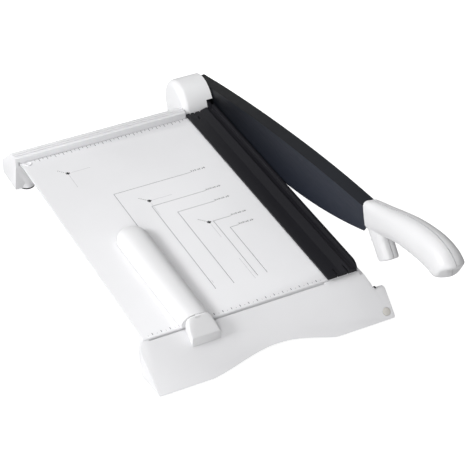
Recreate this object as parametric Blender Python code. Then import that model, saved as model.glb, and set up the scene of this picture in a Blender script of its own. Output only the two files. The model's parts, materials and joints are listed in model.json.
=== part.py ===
"""Lever-arm paper trimmer for A4 sheets, built as an assembly of separate pieces.

All dimensions are in millimetres and are turned into metres when a mesh is made.
The design frame has X = 0 on the cutting plane (+X away from the table), Y = 0 on the
table's front edge (+Y towards the pivot) and Z = 0 on the table's top.  The arm is drawn
in its own frame: the pivot is the origin, the arm runs along -Y and is level, and the
arm's empty raises it to the rest angle.  At the end the whole assembly is moved so that
the world origin is the bottom centre of its bounding box.
"""
import math

import bmesh
import bpy
from mathutils import Matrix, Vector

MM = 0.001
GAP = 0.3

# Driving dimensions
BED_WIDTH = 252.0
BED_LENGTH = 346.5
BED_THICKNESS = 2.5
BED_HEIGHT = 44.5
RAIL_LEFT = -258.0
RAIL_RIGHT = -40.0
RAIL_BOTTOM = -42.0
WALL = 2.6

PIVOT_Y = 381.0
PIVOT_Z = -2.0
REST_ANGLE = math.radians(9.5)
SHAFT_RADIUS = 5.0
HUB_RADIUS = 28.6

DRUM_RADIUS = 31.6
DRUM_LEFT = -39.6
DRUM_RIGHT = -1.2

KNIFE_INNER = 0.4
KNIFE_OUTER = 2.9
ARM_OUTER = 12.4
ARM_END = 389.0
HANDLE_START = 397.4
CAM_LIFT = 3.0

HANDLE_MIDDLE = 7.5

STOP_LEFT = -213.5
STOP_RIGHT = -177.0
STOP_END = 171.0

WHITE = (0.86, 0.87, 0.89)
SHADE_WHITE = (0.78, 0.79, 0.81)
BLACK = (0.022, 0.022, 0.026)
BLUE_BLACK = (0.026, 0.030, 0.040)
STEEL = (0.60, 0.61, 0.63)
DARK_STEEL = (0.20, 0.21, 0.23)
BRONZE = (0.55, 0.38, 0.20)
RUBBER = (0.03, 0.03, 0.03)


def clear_scene():
    for old in list(bpy.data.objects):
        bpy.data.objects.remove(old)


# ---------------------------------------------------------------- outlines

def arc(centre, radius, start, end, steps):
    """Points on an arc, angles in degrees."""
    points = []
    for i in range(steps + 1):
        angle = math.radians(start + (end - start) * i / steps)
        points.append((centre[0] + radius * math.cos(angle), centre[1] + radius * math.sin(angle)))
    return points


def circle(centre, radius, steps):
    return arc(centre, radius, 0.0, 360.0, steps)[:-1]


def rectangle(low, high):
    return [(low[0], low[1]), (high[0], low[1]), (high[0], high[1]), (low[0], high[1])]


def hull(points):
    """The convex outline around some points, anticlockwise."""
    ordered = sorted(set(points))

    def half(sequence):
        chain = []
        for p in sequence:
            while len(chain) > 1:
                a, b = chain[-2], chain[-1]
                turn = (b[0] - a[0]) * (p[1] - a[1]) - (b[1] - a[1]) * (p[0] - a[0])
                if turn > 1e-9:
                    break
                chain.pop()
            chain.append(p)
        return chain[:-1]

    return half(ordered) + half(ordered[::-1])


# ---------------------------------------------------------------- solids

def solid(name, rings):
    """A closed body through rings of points with the same count, with flat ends."""
    bm = bmesh.new()
    loops = [[bm.verts.new(Vector(p) * MM) for p in ring] for ring in rings]
    for low, high in zip(loops, loops[1:]):
        for i in range(len(low)):
            k = (i + 1) % len(low)
            bm.faces.new((low[i], low[k], high[k], high[i]))
    bm.faces.new(loops[0][::-1])
    bm.faces.new(loops[-1])
    bmesh.ops.recalc_face_normals(bm, faces=bm.faces)
    mesh = bpy.data.meshes.new(name)
    bm.to_mesh(mesh)
    bm.free()
    made = bpy.data.objects.new(name, mesh)
    bpy.context.scene.collection.objects.link(made)
    return made


def along(axis, position, point):
    """A point of an outline placed at a position along an axis."""
    if axis == "X":
        return (position, point[0], point[1])
    if axis == "Y":
        return (point[0], position, point[1])
    return (point[0], point[1], position)


def prism(name, axis, outline, start, end):
    return solid(name, [[along(axis, s, p) for p in outline] for s in (start, end)])


def box(name, low, high):
    return prism(name, "Z", rectangle(low[:2], high[:2]), low[2], high[2])


def turned(name, axis, centre, steps, count=24):
    """A round body: steps are (position along the axis, radius)."""
    rings = []
    for position, radius in steps:
        rings.append([along(axis, position, p) for p in circle(centre, radius, count)])
    return solid(name, rings)


def apply_modifiers(made):
    graph = bpy.context.evaluated_depsgraph_get()
    mesh = bpy.data.meshes.new_from_object(made.evaluated_get(graph))
    made.modifiers.clear()
    made.data = mesh


def combine(made, other, operation):
    modifier = made.modifiers.new("shape", "BOOLEAN")
    modifier.operation = operation
    modifier.solver = "EXACT"
    modifier.object = other
    bpy.context.view_layer.update()
    apply_modifiers(made)
    bpy.data.objects.remove(other)
    return made


def cut(made, *tools):
    for tool in tools:
        combine(made, tool, "DIFFERENCE")
    return made


def join(made, *others):
    for other in others:
        combine(made, other, "UNION")
    return made


def keep(made, *others):
    for other in others:
        combine(made, other, "INTERSECT")
    return made


def bevel(made, width, segments=2, angle=40.0):
    modifier = made.modifiers.new("edges", "BEVEL")
    modifier.width = width * MM
    modifier.segments = segments
    modifier.limit_method = "ANGLE"
    modifier.angle_limit = math.radians(angle)
    modifier.harden_normals = False
    bpy.context.view_layer.update()
    apply_modifiers(made)
    return made


# ---------------------------------------------------------------- bodies and materials

def make_body(name, origin, parent):
    """An empty on a moving body's joint; origin is in the design frame."""
    empty = bpy.data.objects.new(name, None)
    bpy.context.scene.collection.objects.link(empty)
    empty.empty_display_size = 0.02
    empty.parent = parent
    empty.location = Vector(origin) * MM
    return empty


def plastic(name, colour, roughness):
    return make_material(name, colour, roughness, 0.0)


def metal(name, colour, roughness):
    return make_material(name, colour, roughness, 1.0)


def make_material(name, colour, roughness, metallic):
    material = bpy.data.materials.new(name)
    material.use_nodes = True
    shader = material.node_tree.nodes["Principled BSDF"]
    shader.inputs["Base Color"].default_value = (*colour, 1.0)
    shader.inputs["Roughness"].default_value = roughness
    shader.inputs["Metallic"].default_value = metallic
    return material


def fit(made, body, origin, material, smooth=True):
    """Hand a finished solid to its body: its mesh is moved to the body's own origin."""
    made.data.transform(Matrix.Translation(-Vector(origin) * MM))
    made.parent = body
    made.data.materials.clear()
    made.data.materials.append(material)
    if smooth:
        made.data.shade_smooth()
        made.data.set_sharp_from_angle(angle=math.radians(35.0))
    return made


# ---------------------------------------------------------------- the base

SLOPE_TOP = (-0.3, -2.0)
SLOPE_FOOT = (-43.6, RAIL_BOTTOM)
SLOPE = (SLOPE_TOP[1] - SLOPE_FOOT[1]) / (SLOPE_TOP[0] - SLOPE_FOOT[0])
DECK_BACK = 14.0
GROOVE = (-1.45, -0.35)
GROOVE_LEFT = -246.0
GROOVE_RIGHT = -42.0
RAIL_FOOT_RIGHT = 22.6
NOTCH_LEDGE = -18.5
NOTCH_BACK = (-15.7, -19.8)
ARCH = (-195.0, -48.0, 9.2)


def slope_z(y):
    """Height of the front rail's sloped face."""
    return SLOPE_TOP[1] + SLOPE * (y - SLOPE_TOP[0])


def arch_points(steps):
    """The shallow arch in the front rail's lower edge, from right to left."""
    points = []
    left, right, rise = ARCH
    for i in range(steps + 1):
        t = 1.0 - i / steps
        lift = rise * math.sin(math.pi * t ** 1.15) ** 1.25 if 0.0 < t < 1.0 else 0.0
        points.append((left + (right - left) * t, RAIL_BOTTOM + lift))
    return points


def front_outline(steps):
    """The front rail seen from the front, in X and Z."""
    left, right = RAIL_LEFT, RAIL_FOOT_RIGHT
    outline = [(left, -1.9), (left, RAIL_BOTTOM)] + arch_points(steps)[::-1]
    outline += arc((right - 2.0, RAIL_BOTTOM + 2.0), 2.0, -90.0, 0.0, 3)
    return outline + [(right, NOTCH_LEDGE - 0.8), (21.4, NOTCH_LEDGE), (11.0, NOTCH_LEDGE), (3.0, -1.9)]


def rail_side_hollow():
    """The space inside the narrow end of the front rail, in Y and Z."""
    return [(-40.8, -43.0), (-18.5, -22.4), (-13.4, -22.4), (6.8, -43.0)]


def make_front_rail():
    profile = [SLOPE_TOP, SLOPE_FOOT, (DECK_BACK, RAIL_BOTTOM), (DECK_BACK, -2.8), (-0.3, -2.8)]
    rail = prism("front_rail", "X", profile, RAIL_LEFT, RAIL_FOOT_RIGHT)
    keep(rail, prism("front", "Y", front_outline(14), -60.0, 30.0))
    plan = [(-251.8, 40.0), (-251.8, 1.0), (RAIL_LEFT, -5.0), (RAIL_LEFT, -9.0), (RAIL_LEFT + 3.2, -41.6)]
    plan += [(RAIL_LEFT + 4.6, -44.0), (30.0, -44.0), (30.0, 40.0)]
    keep(rail, prism("plan", "Z", plan, -60.0, 10.0))
    back, shelf = NOTCH_BACK
    behind = [(back, 5.0), (back, shelf), (-12.3, shelf), (10.0, -42.5), (30.0, -42.5), (30.0, 5.0)]
    cut(rail, prism("behind", "X", behind, 9.0, 30.0))
    relief = [(-3.3, 5.0), (-3.3, -4.9), (0.0, -5.4), (DECK_BACK + 1.0, -8.4), (DECK_BACK + 1.0, 5.0)]
    cut(rail, prism("relief", "X", relief, -0.3, 30.0))
    drop = WALL / math.cos(math.atan(SLOPE))
    roof = -6.0
    hollow_top = (roof - SLOPE_TOP[1] + drop) / SLOPE + SLOPE_TOP[0]
    hollow_foot = (RAIL_BOTTOM - 1.0 - SLOPE_TOP[1] + drop) / SLOPE + SLOPE_TOP[0]
    hollow_profile = [
        (hollow_top, roof), (hollow_foot, RAIL_BOTTOM - 1.0),
        (DECK_BACK - WALL, RAIL_BOTTOM - 1.0), (DECK_BACK - WALL, roof),
    ]
    left = RAIL_LEFT + WALL
    hollow = prism("hollow", "X", hollow_profile, left, RAIL_FOOT_RIGHT)
    front = [(left, -1.9), (left, -43.0), (6.4, -43.0), (6.4, -14.5)]
    front += [(4.6, -11.0), (-2.9, -11.0), (-2.9, -1.9)]
    keep(hollow, prism("front", "Y", front, -60.0, 30.0))
    corner = [(-249.2, 40.0), (-249.2, -0.2), (left, -6.4), (left, -8.0)]
    corner += [(left + 3.6, -44.0), (30.0, -44.0), (30.0, 40.0)]
    keep(hollow, prism("corner", "Z", corner, -60.0, 10.0))
    for x in FOOT_X:
        cut(hollow, turned("boss", "Z", (x, FRONT_FOOT_Y), ((-60.0, 9.0), (10.0, 9.0)), 20))
    cut(rail, hollow)
    cut(rail, prism("end_hollow", "X", rail_side_hollow(), 9.0, RAIL_FOOT_RIGHT - WALL))
    cut(rail, box("groove", (GROOVE_LEFT, GROOVE[0], -20.0), (GROOVE_RIGHT, GROOVE[1], 5.0)))
    for x in BED_SCREW_X:
        cut(rail, turned("hole", "Z", (x, BED_SCREW_FRONT), ((-12.0, 1.8), (0.0, 1.8)), 12))
    hole = ((DECK_BACK - 5.0, 2.3), (DECK_BACK + 2.0, 2.3))
    cut(rail, turned("hole", "Y", (-10.0, -12.0), hole, 12))
    cut(rail, box("blade_slot", (-2.9, 1.7, -20.3), (0.4, 30.0, 5.0)))
    cut(rail, cover_disc("recess", COVER_RADIUS + 0.3, 0.9, 3.0))
    return rail


FOOT_X = (-238.0, -24.0)
FRONT_FOOT_Y = -18.0
REAR_FOOT_LEFT_X = -241.5
REAR_FOOT_Y = 362.5
REAR_FOOT_RADIUS = 9.3
PLUG = (-244.3, 342.1)
PLUG_RADIUS = 4.2
BED_SCREW_X = (-228.0, -60.0)
BED_SCREW_FRONT = 7.0
BED_SCREW_REAR = 340.0
COVER_CENTRE = (14.7, -37.0)
COVER_RADIUS = 4.4


def cover_disc(name, radius, depth, proud):
    """A disc lying in the sloped face: depth below it and proud above it."""
    normal = Vector((0.0, -SLOPE, 1.0)).normalized()
    side = Vector((1.0, 0.0, 0.0))
    rise = normal.cross(side)
    centre = Vector((COVER_CENTRE[0], COVER_CENTRE[1], slope_z(COVER_CENTRE[1])))
    rings = []
    for height in (-depth, proud):
        ring = [centre + normal * height + side * p[0] + rise * p[1] for p in circle((0.0, 0.0), radius, 24)]
        rings.append(ring)
    return solid(name, rings)


def rear_plan(inset):
    """The rear rail from above: its outer rear corner is rounded."""
    left, back = RAIL_LEFT + inset, 403.0 - inset
    corner = arc((left + 5.0, back - 5.0), 5.0, 90.0, 180.0, 4)
    return [(RAIL_RIGHT + 1.0, 300.0), (RAIL_RIGHT + 1.0, back)] + corner + [(left, 300.0)]


def make_rear_rail():
    right = RAIL_RIGHT
    profile = [
        (347.0, 8.0), (361.0, 8.0), (396.0, -22.5), (402.8, -30.5), (401.5, -37.0), (396.5, RAIL_BOTTOM),
        (356.5, RAIL_BOTTOM),
        (348.0, -6.0), (334.0, -6.0), (334.0, -2.8), (347.0, -2.8),
    ]
    rail = prism("rear_rail", "X", profile, RAIL_LEFT, right)
    keep(rail, prism("plan", "Z", rear_plan(0.0), -60.0, 20.0))
    boss = ((RAIL_BOTTOM, REAR_FOOT_RADIUS), (-24.0, REAR_FOOT_RADIUS))
    for x in (REAR_FOOT_LEFT_X, REAR_FOOT_RIGHT_X):
        join(rail, turned("boss", "Z", (x, REAR_FOOT_Y), boss, 32))
    hollow = prism(
        "hollow", "X",
        [(349.7, 5.2), (359.8, 5.2), (394.0, -24.2), (400.0, -31.4), (399.0, -36.2), (393.6, -42.0),
         (393.6, -43.0), (359.5, -43.0), (350.6, -6.5)],
        RAIL_LEFT + WALL, right - WALL,
    )
    keep(hollow, prism("plan", "Z", rear_plan(WALL), -60.0, 20.0))
    for x in (REAR_FOOT_LEFT_X, REAR_FOOT_RIGHT_X):
        low_boss = ((-60.0, REAR_FOOT_RADIUS), (-36.0, REAR_FOOT_RADIUS))
        cut(hollow, turned("boss", "Z", (x, REAR_FOOT_Y), low_boss, 32))
    cut(rail, hollow)
    cut(rail, box("short_flange", (RAIL_LEFT - 1.0, 330.0, -7.0), (-249.5, 347.0, 0.0)))
    for y in (351.2, 355.0):
        cut(rail, box("line", (RAIL_LEFT - 1.0, y, 7.6), (right + 1.0, y + 0.7, 9.0)))
    cut(rail, box("slit", (-254.3, 346.0, -4.0), (-253.1, 351.0, 2.4)))
    for x in BED_SCREW_X:
        cut(rail, turned("hole", "Z", (x, BED_SCREW_REAR), ((-12.0, 1.8), (0.0, 1.8)), 12))
    return rail


REAR_FOOT_RIGHT_X = -56.0


def make_table_bed():
    low = -BED_THICKNESS
    lip = 2.2
    profile = [(BED_LENGTH, low), (BED_LENGTH, 0.0), (lip, 0.0)] + arc((lip, -lip), lip, 90.0, 180.0, 5)[1:]
    profile[-1] = (0.0, low + 0.3)
    profile += [(0.3, low)]
    bed = prism("table_bed", "X", profile, -BED_WIDTH, -3.0)
    for y in PIN_Y:
        cut(bed, turned("hole", "Z", (PIN_X, y), ((-5.0, 4.2), (3.0, 4.2)), 20))
    cut(bed, turned("hole", "Z", PLUG, ((-1.2, PLUG_RADIUS + 0.3), (3.0, PLUG_RADIUS + 0.3)), 24))
    for x in BED_SCREW_X:
        for y in (BED_SCREW_FRONT, BED_SCREW_REAR):
            cut(bed, turned("hole", "Z", (x, y), ((-5.0, 1.8), (-1.0, 1.8)), 12))
    return bed


PIN_X = -10.0
PIN_Y = (24.0, 325.0)
PIN_RADIUS = 2.5
BEAM_LOW = -22.0
BLADE_SCREW_Y = (60.0, 175.0, 290.0)
BEAM_SCREW_Y = (340.0, 356.0)


def make_edge_beam():
    """The steel bar under the cutting edge: it carries the fixed blade and guides the clamp."""
    beam = box("edge_beam", (-17.0, DECK_BACK + GAP, BEAM_LOW), (-2.9, 362.0, -2.8))
    for y in PIN_Y:
        cut(beam, turned("hole", "Z", (PIN_X, y), ((-30.0, 3.9), (3.0, 3.9)), 20))
    for y in BLADE_SCREW_Y:
        cut(beam, turned("hole", "X", (y, -12.0), ((-12.0, 1.7), (0.0, 1.7)), 12))
    for y in BEAM_SCREW_Y:
        cut(beam, turned("hole", "Z", (PIN_X, y), ((-30.0, 2.3), (-8.0, 2.3)), 12))
    cut(beam, turned("hole", "Y", (-10.0, -12.0), ((0.0, 2.3), (24.0 - 4.5, 2.3)), 12))
    return beam


def make_lower_blade():
    blade = box("lower_blade", (-2.6, 2.0, -20.0), (0.1, 348.0, 0.0))
    for y in BLADE_SCREW_Y:
        seat = ((-4.0, 1.7), (-1.6, 1.7), (0.1, 3.6), (1.0, 3.6))
        cut(blade, turned("seat", "X", (y, -12.0), seat, 16))
    return blade


def make_blade_seat_screw(number, y):
    steps = ((-11.0, 1.35), (-1.7, 1.35), (-0.05, 3.15))
    return turned("lower_blade_screw_%d" % number, "X", (y, -12.0), steps, 16)


# ---------------------------------------------------------------- the pivot

BRACKET = (-26.0, -13.0)


def drum_outline(inset, low, steps):
    """The housing from the side, in Y and Z: round at the top and straight down to its foot."""
    drum = circle((PIVOT_Y, PIVOT_Z), DRUM_RADIUS - inset, steps)
    return hull(drum + [(350.2 + inset, low), (398.7 - inset, low)])


def make_drum_housing():
    """The white housing round the pivot, open to the arm and at the bottom."""
    outer = drum_outline(0.0, -60.0, 64)
    housing = prism("drum_housing", "X", outer, DRUM_LEFT, DRUM_RIGHT + 20.0)
    bevel(housing, 8.0, 5, 60.0)
    keep(housing, box("trim", (DRUM_LEFT - 1.0, 300.0, RAIL_BOTTOM), (DRUM_RIGHT, 450.0, 60.0)))
    cut(housing, prism("hollow", "X", drum_outline(WALL, -61.0, 48), DRUM_LEFT + 8.0, 5.0))
    cut(housing, prism("narrow", "X", drum_outline(WALL + 4.5, -61.0, 48), DRUM_LEFT + WALL, DRUM_LEFT + 9.0))
    cut(housing, box("window", (-28.0, 340.0, -50.0), (5.0, 360.0, -2.4)))
    cut(housing, box("slot", (-9.2, 340.0, -3.0), (5.0, 370.0, 13.4)))
    hole = ((390.0, 1.8), (420.0, 1.8))
    cut(housing, turned("hole", "Y", (-20.0, -30.0), hole, 12))
    return housing


def make_pivot_bracket():
    left, right = BRACKET
    round_top = circle((PIVOT_Y, PIVOT_Z), 17.0, 40)
    outline = hull(round_top + [(363.0, -40.0), (397.0, -40.0)])
    bracket = prism("pivot_bracket", "X", outline, left, right)
    join(bracket, box("arm", (left, 334.0, -40.0), (-4.0, 372.0, BEAM_LOW - GAP)))
    cut(bracket, turned("bore", "X", (PIVOT_Y, PIVOT_Z), ((-40.0, 8.3), (0.0, 8.3)), 40))
    for y in BEAM_SCREW_Y:
        cut(bracket, turned("hole", "Z", (PIN_X, y), ((-50.0, 2.3), (0.0, 2.3)), 12))
    cut(bracket, turned("hole", "Y", (-20.0, -30.0), ((385.0, 1.8), (420.0, 1.8)), 12))
    return bracket


def make_pivot_bush():
    steps = ((BRACKET[0], 8.0), (BRACKET[1] + GAP, 8.0), (BRACKET[1] + GAP, 11.0), (BRACKET[1] + 1.5, 11.0))
    bush = turned("pivot_bush", "X", (PIVOT_Y, PIVOT_Z), steps, 40)
    return cut(bush, turned("bore", "X", (PIVOT_Y, PIVOT_Z), ((-40.0, 5.3), (0.0, 5.3)), 40))


def ring(name, axis, centre, inner, outer, start, end, count=32):
    made = turned(name, axis, centre, ((start, outer), (end, outer)), count)
    return cut(made, turned("bore", axis, centre, ((start - 5.0, inner), (end + 5.0, inner)), count))


def make_spring_washer():
    """A dished washer that presses the arm against the housing side."""
    outer = ((-28.2, 8.6), (-27.2, 9.6), (-26.3, 9.6))
    made = turned("friction_washer", "X", (0.0, 0.0), outer, 32)
    return cut(made, turned("bore", "X", (0.0, 0.0), ((-40.0, 5.3), (0.0, 5.3)), 32))


def make_pivot_nut():
    made = prism("pivot_nut", "X", circle((0.0, 0.0), 9.5, 6), -34.4, -28.5)
    return cut(made, turned("bore", "X", (0.0, 0.0), ((-40.0, 5.3), (0.0, 5.3)), 32))


def make_pivot_shaft():
    steps = ((-34.6, 4.4), (-34.0, SHAFT_RADIUS), (12.7, SHAFT_RADIUS), (12.7, 10.0), (16.6, 10.0))
    return turned("pivot_shaft", "X", (0.0, 0.0), steps, 40)


def make_pivot_cap():
    steps = ((12.7, 15.0), (17.6, 15.0), (19.2, 13.0))
    made = turned("pivot_cap", "X", (0.0, 0.0), steps, 40)
    return cut(made, turned("inside", "X", (0.0, 0.0), ((10.0, 10.8), (17.2, 10.8)), 40))


def cam_radius(beta):
    """Radius of the lifting cam; beta is the angle from straight up towards the front, radians."""
    return 7.9 + CAM_LIFT * (beta - REST_ANGLE)


def make_clamp_cam():
    """A snail cam: its radius grows evenly with the arm's angle, so the clamp rises evenly."""
    points = []
    steps = 30
    first, last = math.radians(-20.0), math.radians(85.0)
    for i in range(steps + 1):
        beta = first + (last - first) * i / steps
        radius = cam_radius(beta)
        points.append((-radius * math.sin(beta), radius * math.cos(beta)))
    for i in range(1, steps):
        beta = last + (2.0 * math.pi - (last - first)) * i / steps
        blend = (1.0 + math.cos(math.pi * i / steps)) / 2.0
        radius = cam_radius(first) + (cam_radius(last) - cam_radius(first)) * blend
        points.append((-radius * math.sin(beta), radius * math.cos(beta)))
    made = prism("clamp_cam", "X", points, -10.9, -2.9)
    boss = ((-3.5, 7.2), (0.1, 7.2))
    join(made, turned("boss", "X", (0.0, 0.0), boss, 32))
    return cut(made, turned("bore", "X", (0.0, 0.0), ((-20.0, 5.3), (5.0, 5.3)), 40))


# ---------------------------------------------------------------- the arm

def crease(u):
    """Height of the edge between the arm's inner face and its bevelled top."""
    return 27.7 - 5.0 * ((u - 210.0) / 182.0) ** 2


def arm_top(u):
    """Height of the arm's outer top edge."""
    return 33.6 - (1.5e-4 if u < 255.0 else 2.6e-4) * (u - 255.0) ** 2


def knife_edge(u):
    """Height of the knife's convex cutting edge."""
    return -27.4 + (u - 200.0) ** 2 / 1760.0


def beam_low(u):
    """Height of the arm beam's lower side, behind the knife."""
    return knife_edge(u) + 9.0


def arm_section(u, low):
    """The beam's section: a bar with a bevelled top whose lip covers the knife's top edge."""
    lip = crease(u)
    return [
        (KNIFE_INNER, -u, lip - 0.4),
        (KNIFE_INNER, -u, lip),
        (ARM_OUTER - 1.4, -u, arm_top(u)),
        (ARM_OUTER, -u, arm_top(u) - 1.4),
        (ARM_OUTER, -u, low),
        (KNIFE_OUTER + GAP, -u, low),
        (KNIFE_OUTER + GAP, -u, lip - 0.4),
    ]


ARM_SCREWS = ((70.0, 8.0), (200.0, 6.0), (330.0, 8.0))
HANDLE_SCREWS = ((412.0, 14.0, 8.0), (450.0, 22.0, 11.2))


def handle_start(x, v):
    """Where the slanted front of the arm meets the handle."""
    return HANDLE_START - 0.092 * (v + 3.0) + 0.36 * (x - HANDLE_MIDDLE)


def slanted(ring):
    """An arm section whose points lie just behind the handle's slanted rear edge."""
    return [(x, -(handle_start(x, z) - 0.6), z) for x, _, z in ring]


def make_hub():
    """The arm's round rear end; its top is cut off level with the arm's bevelled top."""
    steps = ((KNIFE_INNER, HUB_RADIUS - 0.6), (KNIFE_INNER + 0.6, HUB_RADIUS),
             (ARM_OUTER - 1.2, HUB_RADIUS), (ARM_OUTER, HUB_RADIUS - 1.2))
    hub = turned("hub", "X", (0.0, 0.0), steps, 56)
    blank = []
    for i in range(7):
        u = -34.0 + 10.0 * i
        blank.append([(KNIFE_INNER - 1.0, -u, -60.0), (KNIFE_INNER - 1.0, -u, crease(u) - 0.6),
                      (ARM_OUTER - 1.4, -u, arm_top(u)), (ARM_OUTER + 1.0, -u, arm_top(u) - 2.4),
                      (ARM_OUTER + 1.0, -u, -60.0)])
    return keep(hub, solid("blank", blank))


def make_arm_beam():
    stations = [14.0 + (ARM_END - 14.0) * i / 18 for i in range(19)]
    rings = [arm_section(u, beam_low(u)) for u in stations]
    rings.append(slanted(arm_section(ARM_END + 5.0, beam_low(ARM_END + 5.0))))
    beam = solid("arm_beam", rings)
    reach = HUB_RADIUS + 0.3
    clear = turned("clear", "X", (0.0, 0.0), ((-1.0, reach), (KNIFE_OUTER + GAP, reach)), 56)
    cut(beam, clear)
    join(beam, make_hub())
    join(beam, box("lug", (9.9, -391.0, -22.4), (ARM_OUTER, -388.0, 5.0)))
    join(beam, box("toe", (9.9, -395.8, -22.4), (ARM_OUTER, -390.0, -6.5)))
    tang = [(-380.0, 2.0), (-470.0, 20.0), (-470.0, 33.0), (-380.0, 20.0)]
    join(beam, prism("tang", "X", tang, 3.6, 9.8))
    cut(beam, turned("bore", "X", (0.0, 0.0), ((-5.0, 5.3), (20.0, 5.3)), 40))
    for u, v in ARM_SCREWS:
        seat = ((-1.0, 2.3), (8.7, 2.3), (8.7, 4.6), (20.0, 4.6))
        cut(beam, turned("seat", "X", (-u, v), seat, 20))
    for u, v, _ in HANDLE_SCREWS:
        cut(beam, turned("hole", "X", (-u, v), ((-1.0, 2.3), (20.0, 2.3)), 16))
    return beam


def knife_section(u, edge):
    top = crease(u) - 0.8
    return [
        (KNIFE_INNER, -u, top), (KNIFE_INNER, -u, edge),
        (KNIFE_INNER + 0.7, -u, edge), (KNIFE_OUTER, -u, edge + 3.5), (KNIFE_OUTER, -u, top),
    ]


def make_upper_blade():
    """The knife: a plate with a convex lower edge, ground to a bevel on its outer side."""
    tip = slanted(knife_section(ARM_END + 4.0, -2.6))
    rings = [tip, knife_section(392.4, -4.6), knife_section(390.6, knife_edge(390.6) + 0.2)]
    for i in range(27):
        u = ARM_END + (14.0 - ARM_END) * i / 26
        rings.append(knife_section(u, knife_edge(u)))
    blade = solid("upper_blade", rings)
    clear = ((-2.0, HUB_RADIUS + 0.6), (5.0, HUB_RADIUS + 0.6))
    cut(blade, turned("clear", "X", (0.0, 0.0), clear, 56))
    for u, v in ARM_SCREWS:
        cut(blade, turned("hole", "X", (-u, v), ((1.2, 2.3), (5.0, 2.3)), 16))
    return blade


def make_knife_screw(number, u, v):
    steps = ((1.5, 1.9), (9.0, 1.9), (9.0, 4.2), (12.0, 4.2), (12.3, 3.9))
    made = turned("knife_screw_%d" % number, "X", (-u, v), steps, 20)
    return cut(made, prism("socket", "X", circle((-u, v), 2.0, 6), 10.4, 15.0))


# ---------------------------------------------------------------- the handle

GRIP = (
    # bottom (u, v), top (u, v), half width, squareness
    ((HANDLE_START, -3.0), (HANDLE_START - 3.0, 29.6), 8.8, 4.0),
    ((411.0, -1.5), (405.0, 32.4), 9.5, 3.2),
    ((432.0, 3.5), (428.0, 36.6), 11.2, 2.7),
    ((455.0, 7.6), (452.0, 41.4), 13.0, 2.4),
    ((480.0, 9.4), (478.0, 45.8), 14.4, 2.3),
    ((503.0, 9.0), (503.0, 47.6), 15.0, 2.3),
    ((517.0, 8.0), (524.0, 46.6), 15.2, 2.4),
    ((525.5, 7.4), (541.0, 41.6), 15.4, 2.6),
    ((531.5, 7.6), (551.5, 35.0), 15.4, 2.8),
    ((539.0, 9.4), (556.4, 29.4), 15.2, 2.8),
    ((547.0, 13.0), (556.4, 26.4), 14.2, 2.6),
)

HORN = (
    ((402.0, 12.0), (430.0, 20.0), 7.6, 3.4),
    ((396.8, -1.6), (428.6, 5.0), 8.5, 3.8),
    ((402.6, -9.8), (428.8, -3.0), 8.8, 3.6),
    ((409.8, -20.0), (433.4, -10.8), 8.8, 3.6),
    ((415.8, -29.4), (438.0, -18.2), 8.6, 3.6),
    ((417.6, -31.0), (437.4, -20.6), 7.8, 3.4),
)


def oval(low, high, half_width, power, count, inset=0.0):
    """A rounded section between two points of the arm's plane; power 2 is an ellipse."""
    low, high = Vector(low), Vector(high)
    centre = (low + high) / 2.0
    reach = (high - low) / 2.0
    reach *= (reach.length - inset) / reach.length
    ring = []
    for i in range(count):
        angle = 2.0 * math.pi * i / count
        c, s = math.cos(angle), math.sin(angle)
        across = math.copysign(abs(c) ** (2.0 / power), c) * (half_width - inset)
        up = math.copysign(abs(s) ** (2.0 / power), s)
        point = centre + reach * up
        ring.append((HANDLE_MIDDLE + across, -point[0], point[1]))
    return ring


def handle_solid(name):
    rings = [oval(*section, 28) for section in GRIP]
    rings[0] = [(x, y - 0.36 * (x - HANDLE_MIDDLE), z) for x, y, z in rings[0]]
    for ring, bulge in zip(rings[-4:], (1.0, 3.0, 5.0, 7.0)):
        ring[:] = [(x, y + bulge * ((x - HANDLE_MIDDLE) / 15.0) ** 2, z) for x, y, z in ring]
    grip = solid(name, rings)
    return join(grip, solid("horn", [oval(*section, 24) for section in HORN]))


def handle_hollow():
    inside = [oval(*section, 24, 2.8) for section in GRIP[:8]]
    lead = [(x, y + 12.0, z) for x, y, z in inside[0]]
    return solid("hollow", [lead] + inside)


def make_handle_shell(name, side):
    """One of the two moulded halves; side is -1 for the inner half and 1 for the outer."""
    shell = cut(handle_solid(name), handle_hollow())
    edge = HANDLE_MIDDLE + side * GAP / 2.0
    far = HANDLE_MIDDLE + side * 40.0
    low, high = min(edge, far), max(edge, far)
    for u, v, reach in HANDLE_SCREWS:
        if side < 0:
            join(shell, turned("post", "X", (-u, v), ((HANDLE_MIDDLE - reach, 4.0), (3.3, 4.0)), 16))
            cut(shell, turned("hole", "X", (-u, v), ((0.2, 1.6), (20.0, 1.6)), 12))
        else:
            join(shell, turned("post", "X", (-u, v), ((10.2, 4.2), (HANDLE_MIDDLE + reach, 4.2)), 16))
            cut(shell, turned("hole", "X", (-u, v), ((-20.0, 1.9), (40.0, 1.9)), 12))
            cut(shell, turned("seat", "X", (-u, v), ((13.0, 3.4), (40.0, 3.4)), 16))
    return keep(shell, box("half", (low, -600.0, -60.0), (high, -300.0, 80.0)))


def make_handle_screw(number, u, v):
    steps = ((0.5, 1.3), (13.3, 1.3), (13.3, 3.1), (14.4, 3.1), (15.0, 2.4))
    return turned("handle_screw_%d" % number, "X", (-u, v), steps, 16)


# ---------------------------------------------------------------- the clamp

CLAMP_FRONT = -2.0
CLAMP_BACK = 348.9
CLAMP_LEFT = -38.6
CLAMP_RIGHT = -0.5


CLAMP_NOSE = (
    (1.5, 0.2), (2.5, 0.2), (3.2, 2.3), (4.4, 4.1), (6.0, 5.65),
    (9.0, 7.2), (13.0, 8.15), (17.0, 8.55), (21.0, 8.65),
)
CLAMP_SLITS = ((-27.0, -3.0, 9.7), (-15.2, -3.0, 9.0), (-27.5, 332.0, 339.0))


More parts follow.
